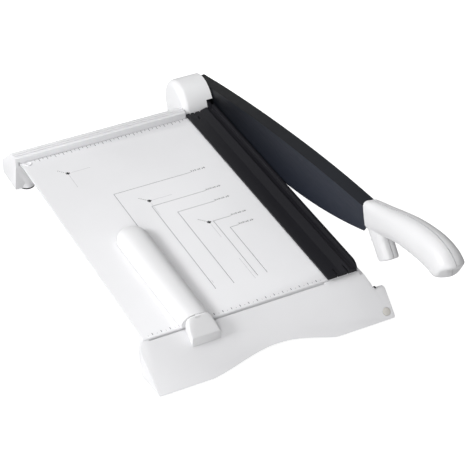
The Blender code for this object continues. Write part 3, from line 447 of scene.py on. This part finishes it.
def front_ruler():
    """Short dark dashes along the table's front edge, one for each centimetre."""
    lines = []
    for half in range(9, 50):
        x = -half * 5.0
        lines.append((x, 2.3, x, 5.4 if half % 2 == 0 else 3.6, 0.7 if half % 2 == 0 else 0.4))
    return lines


FORMATS = ((-179.4, 242.7), (-150.3, 202.7), (-128.9, 180.2), (-100.6, 147.4), (-89.1, 128.8))
LABELS = (-83.0, -83.0, -83.0, -78.5, -78.5)
CROSSES = ((-210.4, 303.9), (-148.5, 213.2), (-105.7, 147.5))
STROKES = ((0.0, 3.0), (2.4, 2.2), (5.0, 3.0), (8.0, 2.2), (10.6, 3.0), (13.4, 2.2), (16.0, 3.0))
LABEL_END = -61.0
FORMAT_END = 40.0


def label(x, y):
    """Generic short strokes standing for a size label above a format line."""
    lines = []
    foot = y + 0.8
    for i, (step, tall) in enumerate(STROKES):
        if x + step > LABEL_END:
            break
        lean_over = 0.6 if i % 2 else 0.0
        lines.append((x + step, foot, x + step + lean_over, foot + tall, 0.7))
        if i % 3 != 1:
            lines.append((x + step, foot + tall / 2.0, x + step + 1.5, foot + tall / 2.0, 0.5))
    return lines


dark_lines = rear_ruler() + front_ruler()
pale_lines, black_lines = [], []
for (x, y), start in zip(FORMATS, LABELS):
    dark_lines.append((x, y, start, y, 0.5))
    dark_lines.append((x, y, x, FORMAT_END, 0.5))
    black_lines += label(start + 1.5, y - 0.6)
for x, y in CROSSES:
    black_lines.append((x - 2.4, y, x + 2.4, y, 1.9))
    black_lines.append((x, y - 2.4, x, y + 2.4, 1.9))
    for i in range(5):
        a, b = (i + 0.8) / 5.0, (i + 1.25) / 5.0
        black_lines.append((x - 8.6 * a, y + 9.6 * a, x - 8.6 * b, y + 9.6 * b, 0.8))
    pale_lines.append((x + 4.0, y, x + 28.0, y, 0.3))
    pale_lines.append((x, y - 4.0, x, y - 30.0, 0.3))
pale_lines += [(-105.0, 75.0, -105.0, 37.0, 0.3), (-148.0, 55.0, -148.0, 50.0, 0.3)]
printed("table_scale_and_format_marks", dark_lines, ink)
printed("table_guide_marks", pale_lines, pale_ink)
printed("table_crosses_and_labels", black_lines, black_ink)

# ---------------------------------------------------------------- the front rail

SLOPE_TOP = (-0.3, -2.0)
SLOPE_FOOT = (-43.6, -42.0)
SLOPE = (SLOPE_TOP[1] - SLOPE_FOOT[1]) / (SLOPE_TOP[0] - SLOPE_FOOT[0])
RAIL_LEFT = -258.0
WALL = 2.6


def slope_z(y):
    return SLOPE_TOP[1] + SLOPE * (y - SLOPE_TOP[0])


def arch_points(steps):
    points = []
    left, right, rise = -195.0, -48.0, 9.2
    for i in range(steps + 1):
        t = i / steps
        lift = rise * math.sin(math.pi * t ** 1.15) ** 1.25 if 0.0 < t < 1.0 else 0.0
        points.append((left + (right - left) * t, -42.0 + lift))
    return points


def make_front_rail():
    profile = [SLOPE_TOP, SLOPE_FOOT, (14.0, -42.0), (14.0, -2.8), (-0.3, -2.8)]
    rail = prism("front_rail", "X", profile, RAIL_LEFT, 22.6)
    front = [(RAIL_LEFT, -1.9), (RAIL_LEFT, -42.0)] + arch_points(72)
    front += arc((20.4, -39.8), 2.2, -90.0, 0.0, 8)
    front += [(22.6, -19.6)] + arc((21.6, -19.5), 1.0, 0.0, 90.0, 5)
    front += [(11.9, -18.5), (11.0, -18.2), (3.0, -1.9)]
    keep(rail, prism("front", "Y", front, -60.0, 30.0))
    plan = [(-251.8, 40.0), (-251.8, 1.0), (RAIL_LEFT, -5.0), (RAIL_LEFT, -9.0), (RAIL_LEFT + 3.3, -42.2)]
    plan += [(RAIL_LEFT + 4.4, -43.6), (30.0, -43.6), (30.0, 40.0)]
    keep(rail, prism("plan", "Z", plan, -60.0, 10.0))
    behind = [(-15.7, 5.0), (-15.7, -19.8), (-12.3, -19.8), (10.0, -42.5), (30.0, -42.5), (30.0, 5.0)]
    cut(rail, prism("behind", "X", behind, 9.0, 30.0))
    soften(rail, 0.7, 3, 30.0)
    relief = [(-3.3, 5.0), (-3.3, -4.9), (0.0, -5.4), (15.0, -8.4), (15.0, 5.0)]
    cut(rail, prism("relief", "X", relief, -0.3, 30.0))
    left = RAIL_LEFT + WALL
    hollow_front = [(left, -5.0), (left, -43.0), (6.4, -43.0), (6.4, -14.5)]
    hollow_front += [(4.6, -11.0), (-2.9, -11.0), (-2.9, -5.0)]
    drop = WALL / math.cos(math.atan(SLOPE))
    hollow_profile = [
        ((-6.0 + 2.0 + drop) / SLOPE - 0.3, -6.0), ((-43.0 + 2.0 + drop) / SLOPE - 0.3, -43.0),
        (14.0 - WALL, -43.0), (14.0 - WALL, -6.0),
    ]
    hollow = prism("hollow", "X", hollow_profile, left, 22.0)
    keep(hollow, prism("front", "Y", hollow_front, -60.0, 30.0))
    corner = [(-249.2, 40.0), (-249.2, -0.2), (left, -6.4), (left, -8.0)]
    corner += [(left + 3.6, -44.0), (30.0, -44.0), (30.0, 40.0)]
    keep(hollow, prism("corner", "Z", corner, -60.0, 10.0))
    for x in (-238.0, -24.0):
        cut(hollow, turned("boss", "Z", (x, -18.0), ((-60.0, 9.0), (10.0, 9.0)), 48))
    cut(rail, hollow)
    end_hollow = [(-40.8, -43.0), (-18.5, -22.4), (-13.4, -22.4), (6.8, -43.0)]
    cut(rail, prism("end_hollow", "X", end_hollow, 9.0, 22.6 - WALL))
    groove = rounded(rectangle((-246.0, -1.45), (-42.0, -0.35)), (0.5, 0.5, 0.5, 0.5))
    cut(rail, prism("groove", "Z", groove, -20.0, 5.0))
    cut(rail, box("blade_slot", (-2.9, 1.7, -20.3), (0.4, 30.0, 5.0)))
    cut(rail, cover_disc("recess", 4.7, 0.9, 3.0))
    return rail


def cover_disc(name, radius, depth, proud):
    normal = Vector((0.0, -SLOPE, 1.0)).normalized()
    side = Vector((1.0, 0.0, 0.0))
    rise = normal.cross(side)
    centre = Vector((14.7, -37.0, slope_z(-37.0)))
    rings = []
    for height in (-depth, proud):
        middle = centre + normal * height
        rings.append([middle + side * p[0] + rise * p[1] for p in circle((0.0, 0.0), radius, 48)])
    return solid(name, rings)


place(make_front_rail(), "base", white, ("front_rail",))
disc = soften(cover_disc("screw_cover_disc", 4.4, 0.6, 0.25), 0.2, 2)
place(disc, "base", cover_grey, ("screw_cover",))

# ---------------------------------------------------------------- the rear rail


REAR_FEET = (-241.5, -56.0)


def rear_plan(inset):
    left, back = RAIL_LEFT + inset, 403.0 - inset
    corner = arc((left + 5.0, back - 5.0), 5.0, 90.0, 180.0, 16)
    return [(-30.0, 300.0), (-30.0, back)] + corner + [(left, 300.0)]


def make_rear_rail():
    profile = rounded(
        [(347.0, 8.0), (361.0, 8.0), (396.0, -22.5), (402.8, -30.5), (401.5, -37.0), (396.5, -42.0),
         (356.5, -42.0), (348.0, -6.0), (334.0, -6.0), (334.0, -2.8), (347.0, -2.8)],
        (1.0, 7.0, 8.0, 3.0, 3.0, 0.0, 0.0, 1.0, 0.0, 0.0, 0.0), 8,
    )
    rail = prism("rear_rail", "X", profile, RAIL_LEFT, -40.0)
    keep(rail, prism("plan", "Z", rear_plan(0.0), -60.0, 20.0))
    soften(rail, 0.8, 3, 34.0)
    for x in REAR_FEET:
        join(rail, turned("boss", "Z", (x, 362.5), ((-42.0, 9.3), (-24.0, 9.3)), 96))
    hollow = prism(
        "hollow", "X",
        [(349.7, 5.2), (358.2, 5.2), (393.0, -24.2), (399.0, -31.4), (398.6, -36.2), (393.6, -42.0),
         (393.6, -43.0), (359.5, -43.0), (350.6, -6.5)],
        RAIL_LEFT + WALL, -40.0 - WALL,
    )
    keep(hollow, prism("plan", "Z", rear_plan(WALL), -60.0, 20.0))
    for x in REAR_FEET:
        cut(hollow, turned("boss", "Z", (x, 362.5), ((-60.0, 9.3), (-36.0, 9.3)), 96))
    cut(rail, hollow)
    cut(rail, box("short_flange", (RAIL_LEFT - 1.0, 330.0, -7.0), (-249.5, 347.0, 0.0)))
    for y in (351.2, 355.0):
        cut(rail, box("line", (RAIL_LEFT - 1.0, y, 6.8), (-39.0, y + 0.9, 9.0)))
    cut(rail, box("slit", (-254.3, 346.0, -4.0), (-253.1, 351.0, 2.4)))
    return rail


place(make_rear_rail(), "base", white, ("rear_rail",))

# ---------------------------------------------------------------- the pivot housing

DRUM_RADIUS = 31.6


def drum_outline(inset, low, steps):
    drum = circle((381.0, -2.0), DRUM_RADIUS - inset, steps)
    return hull(drum + [(350.2 + inset, low), (398.7 - inset, low)])


def make_housing():
    housing = prism("pivot_housing", "X", drum_outline(0.0, -60.0, 144), -39.6, 18.8)
    soften(housing, 8.0, 12, 60.0)
    keep(housing, box("trim", (-40.6, 300.0, -42.0), (-1.2, 450.0, 60.0)))
    cut(housing, prism("hollow", "X", drum_outline(WALL, -61.0, 96), -31.6, 5.0))
    cut(housing, prism("narrow", "X", drum_outline(WALL + 4.5, -61.0, 96), -39.6 + WALL, -30.6))
    cut(housing, box("window", (-28.0, 340.0, -50.0), (5.0, 360.0, -2.4)))
    cut(housing, box("slot", (-9.2, 340.0, -3.0), (5.0, 370.0, 13.4)))
    return housing


place(make_housing(), "base", drum_white, ("drum_housing",))

# ---------------------------------------------------------------- the clamp


def make_clamp():
    profile = rounded(
        [(-38.6, 1.2), (-38.6, 3.6), (-22.3, 3.6), (-12.0, 6.1), (-11.2, 6.1), (-10.4, 5.2),
         (-5.4, 5.2), (-4.4, 7.7), (-3.8, 8.0), (-0.5, 8.6), (-0.5, 1.2)],
        (0.0, 0.5, 4.0, 0.25, 0.25, 0.4, 0.6, 0.4, 0.3, 0.8, 0.0), 5,
    )
    bar = prism("clamp_bar", "Y", profile, -2.0, 348.9)
    nose = [(-10.0, 0.2), (1.5, 0.2), (2.5, 0.2), (3.2, 2.3), (4.4, 4.1), (6.0, 5.65), (9.0, 7.2),
            (13.0, 8.15), (17.0, 8.55), (21.0, 8.65), (21.0, 20.0), (-10.0, 20.0)]
    cut(bar, prism("nose", "X", rounded(nose, (0, 0, 0, 2, 2, 2, 3, 3, 2, 0, 0, 0), 5), -3.9, 5.0))
    follower = [(343.5, 4.0), (349.0, 4.0), (351.5, 7.8), (381.0, 7.8), (381.0, 6.2), (384.5, 6.2),
                (384.5, 10.2), (350.8, 10.2)]
    join(bar, prism("follower", "X", follower, -8.8, -4.6))
    cut(bar, box("pad_seat", (-34.3, 11.7, 0.0), (-15.7, 329.3, 2.2)))
    for x, front, back in ((-27.0, -3.0, 9.7), (-15.2, -3.0, 9.0), (-27.5, 332.0, 339.0)):
        cut(bar, box("slit", (x - 0.55, front, 0.0), (x + 0.55, back, 20.0)))
    for x in (-33.5, -27.5, -20.5):
        cut(bar, box("notch", (x - 1.1, 347.1, 0.0), (x + 1.1, 350.0, 20.0)))
    return bar


place(make_clamp(), "clamp", clamp_black, ("clamp_bar",), sharp=24.0)

# ---------------------------------------------------------------- the arm and knife

ARM_START = 14.0
ARM_END = 389.0
HUB_RADIUS = 28.6


def crease(u):
    return 27.7 - 5.0 * ((u - 210.0) / 182.0) ** 2


def arm_top(u):
    return 33.6 - (1.5e-4 if u < 255.0 else 2.6e-4) * (u - 255.0) ** 2


def knife_edge(u):
    return -27.4 + (u - 200.0) ** 2 / 1760.0


def slanted(ring):
    """An arm section whose points lie just behind the grip's slanted rear edge."""
    return [(x, -(397.4 - 0.092 * (z + 3.0) + 0.36 * (x - 7.5) - 0.6), z) for x, _, z in ring]


def arm_section(u):
    lip, low = crease(u), knife_edge(u) + 9.0
    outline = rounded(
        [(0.4, lip - 0.5), (0.4, lip), (11.9, arm_top(u)), (12.4, arm_top(u) - 1.0), (12.4, low), (3.2, low),
         (3.2, lip - 0.5)],
        (0.0, 0.3, 0.5, 0.5, 1.0, 0.0, 0.0), 4,
    )
    return [(x, -u, v) for x, v in outline]


def make_hub():
    hub = ((0.4, HUB_RADIUS - 0.6), (0.6, HUB_RADIUS - 0.2), (1.0, HUB_RADIUS), (11.2, HUB_RADIUS),
           (12.0, HUB_RADIUS - 0.4), (12.4, HUB_RADIUS - 1.2))
    blank = []
    for i in range(31):
        u = -34.0 + 2.0 * i
        blank.append([(-0.6, -u, -60.0), (-0.6, -u, crease(u) - 0.6), (11.5, -u, arm_top(u)),
                      (13.4, -u, arm_top(u) - 2.0), (13.4, -u, -60.0)])
    return keep(turned("hub", "X", (0.0, 0.0), hub, 144), solid("blank", blank))


def make_arm():
    stations = [ARM_START + (ARM_END - ARM_START) * i / 90 for i in range(91)]
    rings = [arm_section(u) for u in stations] + [slanted(arm_section(ARM_END + 5.0))]
    beam = solid("arm_beam", rings)
    reach = HUB_RADIUS + 0.3
    cut(beam, turned("clear", "X", (0.0, 0.0), ((-1.0, reach), (3.2, reach)), 144))
    join(beam, make_hub())
    join(beam, box("lug", (9.9, -391.0, -22.4), (12.4, -388.0, 5.0)))
    join(beam, box("toe", (9.9, -395.8, -22.4), (12.4, -390.0, -6.5)))
    for u, v in ((70.0, 8.0), (200.0, 6.0), (330.0, 8.0)):
        cut(beam, turned("seat", "X", (-u, v), ((8.7, 4.6), (20.0, 4.6))))
    return beam


def knife_section(u, edge):
    top = crease(u) - 0.8
    return [(0.4, -u, top), (0.4, -u, edge), (0.6, -u, edge), (2.9, -u, edge + 5.0), (2.9, -u, top)]


def make_knife():
    rings = [slanted(knife_section(ARM_END + 4.0, -2.6)), knife_section(392.4, -4.6),
             knife_section(391.4, -5.8), knife_section(390.2, knife_edge(390.2))]
    stations = [ARM_END + (ARM_START - ARM_END) * i / 120 for i in range(121)]
    rings += [knife_section(u, knife_edge(u)) for u in stations]
    blade = solid("knife", rings)
    reach = HUB_RADIUS + 0.6
    return cut(blade, turned("clear", "X", (0.0, 0.0), ((-2.0, reach), (5.0, reach)), 144))


place(make_arm(), "arm", arm_paint, ("arm_beam",), True)
place(make_knife(), "arm", knife_black, ("upper_blade",), True)

# ---------------------------------------------------------------- the grip

GRIP = (
    ((397.4, -3.0), (394.4, 29.6), 8.8, 4.0),
    ((411.0, -1.5), (405.0, 32.4), 9.5, 3.2),
    ((432.0, 3.5), (428.0, 36.6), 11.2, 2.7),
    ((455.0, 7.6), (452.0, 41.4), 13.0, 2.4),
    ((480.0, 9.4), (478.0, 45.8), 14.4, 2.3),
    ((503.0, 9.0), (503.0, 47.6), 15.0, 2.3),
    ((517.0, 8.0), (524.0, 46.6), 15.2, 2.4),
    ((525.5, 7.4), (541.0, 41.6), 15.4, 2.6),
    ((531.5, 7.6), (551.5, 35.0), 15.4, 2.8),
    ((539.0, 9.4), (556.4, 29.4), 15.2, 2.8),
    ((547.0, 13.0), (556.4, 26.4), 14.2, 2.6),
)
HORN = (
    ((402.0, 12.0), (430.0, 20.0), 7.6, 3.4),
    ((396.8, -1.6), (428.6, 5.0), 8.5, 3.8),
    ((402.6, -9.8), (428.8, -3.0), 8.8, 3.6),
    ((409.8, -20.0), (433.4, -10.8), 8.8, 3.6),
    ((415.8, -29.4), (438.0, -18.2), 8.6, 3.6),
    ((417.6, -31.0), (437.4, -20.6), 7.8, 3.4),
)
HANDLE_MIDDLE = 7.5


def oval(low, high, half_width, power, count):
    low, high = Vector(low), Vector(high)
    centre, reach = (low + high) / 2.0, (high - low) / 2.0
    ring = []
    for i in range(count):
        angle = 2.0 * math.pi * i / count
        c, s = math.cos(angle), math.sin(angle)
        across = math.copysign(abs(c) ** (2.0 / power), c) * half_width
        point = centre + reach * math.copysign(abs(s) ** (2.0 / power), s)
        ring.append((HANDLE_MIDDLE + across, -point[0], point[1]))
    return ring


def in_between(sections, steps):
    """Smooth sections through the given ones, by a Catmull-Rom curve for each number."""
    flat = [(*s[0], *s[1], s[2], s[3]) for s in sections]
    result = []
    for i in range(len(flat) - 1):
        p0, p1 = flat[max(i - 1, 0)], flat[i]
        p2, p3 = flat[i + 1], flat[min(i + 2, len(flat) - 1)]
        for k in range(steps):
            t = k / steps
            values = []
            for a, b, c, d in zip(p0, p1, p2, p3):
                values.append(0.5 * (2 * b + (c - a) * t + (2 * a - 5 * b + 4 * c - d) * t * t
                                     + (3 * b - 3 * c + d - a) * t ** 3))
            result.append(values)
    result.append(flat[-1])
    return [((v[0], v[1]), (v[2], v[3]), v[4], v[5]) for v in result]


def make_grip():
    rings = [oval(*section, 72) for section in in_between(GRIP, 5)]
    rings[0] = [(x, y - 0.36 * (x - HANDLE_MIDDLE), z) for x, y, z in rings[0]]
    last = len(rings) - 1
    for i in range(last - 20, last + 1):
        bulge = 7.0 * (1.0 - (last - i) / 20.0) ** 1.3
        rings[i] = [(x, y + bulge * ((x - HANDLE_MIDDLE) / 15.0) ** 2, z) for x, y, z in rings[i]]
    grip = merge(solid("grip", rings), solid("horn", [oval(*section, 56) for section in in_between(HORN, 5)]))
    remesh = grip.modifiers.new("remesh", "REMESH")
    remesh.mode = "VOXEL"
    remesh.voxel_size = 0.7 * MM
    smooth = grip.modifiers.new("smooth", "SMOOTH")
    smooth.factor = 0.5
    smooth.iterations = 5
    return apply_modifiers(grip)


def make_grip_half(name, side):
    half = make_grip()
    half.name = name
    edge = HANDLE_MIDDLE + side * 0.34
    far = HANDLE_MIDDLE + side * 40.0
    low, high = min(edge, far), max(edge, far)
    return keep(half, box("half", (low, -600.0, -60.0), (high, -300.0, 80.0)))


for side, name in ((-1, "inner"), (1, "outer")):
    half = make_grip_half("grip_half_" + name, side)
    place(half, "arm", handle_white, ("handle_shell_" + name,), True, 50.0)

# ---------------------------------------------------------------- the side stop

STOP_RIGHT, STOP_END = -177.0, 171.0
ROUND_END = (8, 16, 24, 32, 40, 48, 56, 63, 70, 76, 81, 85, 88)


def stop_left(y):
    return -213.5 + 3.0 * (1.0 - min(max(y, 0.0), 140.0) / 140.0)


def stop_ring(y, count=40):
    rear = STOP_END - 19.0
    half = (STOP_RIGHT - stop_left(y)) / 2.0
    middle = (STOP_RIGHT + stop_left(y)) / 2.0
    full = 14.5
    if y > rear:
        ratio = math.sqrt(max(0.0, 1.0 - ((y - rear) / (STOP_END - rear)) ** 2))
        half *= max(ratio, 0.12)
        full *= 0.35 + 0.65 * ratio
    points = [(middle + half - 0.6, y, 1.0), (middle + half, y, 2.4)]
    for i in range(1, count):
        angle = math.pi * i / count
        c, s = math.cos(angle), math.sin(angle)
        across = math.copysign(abs(c) ** 0.85, c) * half
        points.append((middle + across, y, 2.2 + (full - 2.2) * s ** 0.85))
    return points + [(middle - half, y, 2.2), (middle - half, y, 1.0)]


LEVER_PIVOT = (-4.4, 12.2)


def make_stop():
    rear = STOP_END - 19.0
    stations = [-2.8, -2.4, -1.6, 20.0, 40.0, 60.0, 80.0, 100.0, 120.0, 140.0, rear]
    stations += [rear + 19.0 * math.sin(math.radians(a)) for a in ROUND_END]
    bar = solid("side_stop", [stop_ring(y) for y in stations])
    cut(bar, box("mouth", (-196.5, -6.0, -1.0), (-189.5, 1.0, 4.6)))
    y, z = LEVER_PIVOT
    ear = arc(LEVER_PIVOT, 1.3, 90.0, 270.0, 16) + [(-1.5, z - 1.3), (-1.5, z + 1.3)]
    return join(bar, prism("ear", "X", ear, -195.5, -190.5))


place(make_stop(), "side_stop", stop_white, ("stop_bar",))

def lever_ring(y, steps):
    blend = min(1.0, (y + 2.8) / (-16.2 + 2.8))
    left = -206.1 + 1.6 * blend
    right = STOP_RIGHT - 0.2 + 4.6 * blend ** 1.6
    top = min(13.5, 13.5 + 1.6 * (y + 4.6))
    power = 0.62 - 0.34 * blend
    floor = slope_z(y) + 0.8
    side = min(2.2, top - 3.0)
    middle, half = (left + right) / 2.0, (right - left) / 2.0
    points = [(middle + half, floor), (middle + half, side)]
    for i in range(1, steps):
        angle = math.pi * i / steps
        c, s = math.cos(angle), math.sin(angle)
        across = math.copysign(abs(c) ** power, c) * half
        points.append((middle + across, side + (top - side) * s ** power))
    points += [(middle - half, side), (middle - half, floor)]
    return [(x, y, z) for x, z in points]


def make_lever():
    stations = (-3.1, -3.6, -4.6, -6.0, -7.5, -9.0, -10.5, -12.0, -13.5, -15.0, -16.2)
    lever = solid("stop_lever", [lever_ring(y, 48) for y in stations])
    y, z = LEVER_PIVOT
    corner = [(y, z + 8.0)] + arc(LEVER_PIVOT, 1.3, 90.0, 0.0, 10) + [(5.0, z), (5.0, z + 8.0)]
    cut(lever, prism("corner", "X", corner, -230.0, -150.0))
    slot = arc(LEVER_PIVOT, 1.5, 90.0, 270.0, 16) + [(2.0, z - 1.5), (2.0, z + 1.5)]
    cut(lever, prism("slot", "X", slot, -195.8, -190.2))
    return soften(lever, 0.35, 2, 30.0)


place(make_lever(), "lock_lever", stop_white, ("stop_lever",))

# ---------------------------------------------------------------- floor, light and camera

floor_bm = bmesh.new()
for x in (-6.0, 6.0):
    for y in (-6.0, 6.0):
        floor_bm.verts.new((x, y, 0.0))
floor_bm.verts.ensure_lookup_table()
floor_bm.faces.new([floor_bm.verts[i] for i in (0, 2, 3, 1)])
floor_mesh = bpy.data.meshes.new("floor")
floor_bm.to_mesh(floor_mesh)
floor_bm.free()
floor = link("floor", floor_mesh)
floor_look, floor_nodes, floor_links, floor_shader = base_material("floor paper", (0.62, 0.62, 0.62), 0.9)
floor_shader.inputs["Emission Color"].default_value = (1.0, 1.0, 1.0, 1.0)
seen = floor_nodes.new("ShaderNodeLightPath")
floor_links.new(spread(floor_nodes, floor_links, seen.outputs["Is Camera Ray"], 0.0, 0.85, 0.0, 1.0),
                floor_shader.inputs["Emission Strength"])
floor.data.materials.append(floor_look)

world = bpy.data.worlds.new("studio")
bpy.context.scene.world = world
world.use_nodes = True
sky, sky_links = world.node_tree.nodes, world.node_tree.links
sky["Background"].inputs["Color"].default_value = (1.0, 1.0, 1.0, 1.0)
direction = sky.new("ShaderNodeTexCoord")
lean = sky.new("ShaderNodeVectorMath")
lean.operation = "DOT_PRODUCT"
lean.inputs[1].default_value = (-1.0, 0.45, 0.0)
sky_links.new(direction.outputs["Generated"], lean.inputs[0])
brightness = spread(sky, sky_links, lean.outputs["Value"], 0.10, 0.68, -0.9, 0.9)
sky_links.new(brightness, sky["Background"].inputs["Strength"])


def lamp(name, position, target, size, power):
    data = bpy.data.lights.new(name, "AREA")
    data.shape = "RECTANGLE"
    data.size, data.size_y = size
    data.energy = power
    made = bpy.data.objects.new(name, data)
    bpy.context.scene.collection.objects.link(made)
    made.location = position
    made.rotation_mode = "QUATERNION"
    made.rotation_quaternion = (Vector(target) - Vector(position)).to_track_quat("-Z", "Y")
    return made


lamp("key", (-1.8, 0.0, 1.2), (0.0, 0.0, 0.05), (0.5, 0.5), 25.0)
lamp("front", (-2.2, -3.6, 2.0), (0.0, 0.0, 0.05), (2.0, 2.0), 66.0)
lamp("top", (0.0, 0.3, 2.2), (0.0, 0.0, 0.05), (1.2, 1.2), 10.5)

camera_data = bpy.data.cameras.new("camera")
camera = bpy.data.objects.new("camera", camera_data)
bpy.context.scene.collection.objects.link(camera)
bpy.context.scene.camera = camera
camera_data.sensor_width = 36.0
camera_data.lens = 127.74
camera_data.clip_start, camera_data.clip_end = 0.1, 50.0
camera.location = (Vector((-741.3, -1180.9, 1113.4)) + OFFSET) * MM
camera.rotation_euler = (math.radians(90.0 - 37.54), 0.0, math.radians(-26.68))

settings = bpy.context.scene.view_settings
settings.view_transform = "Standard"
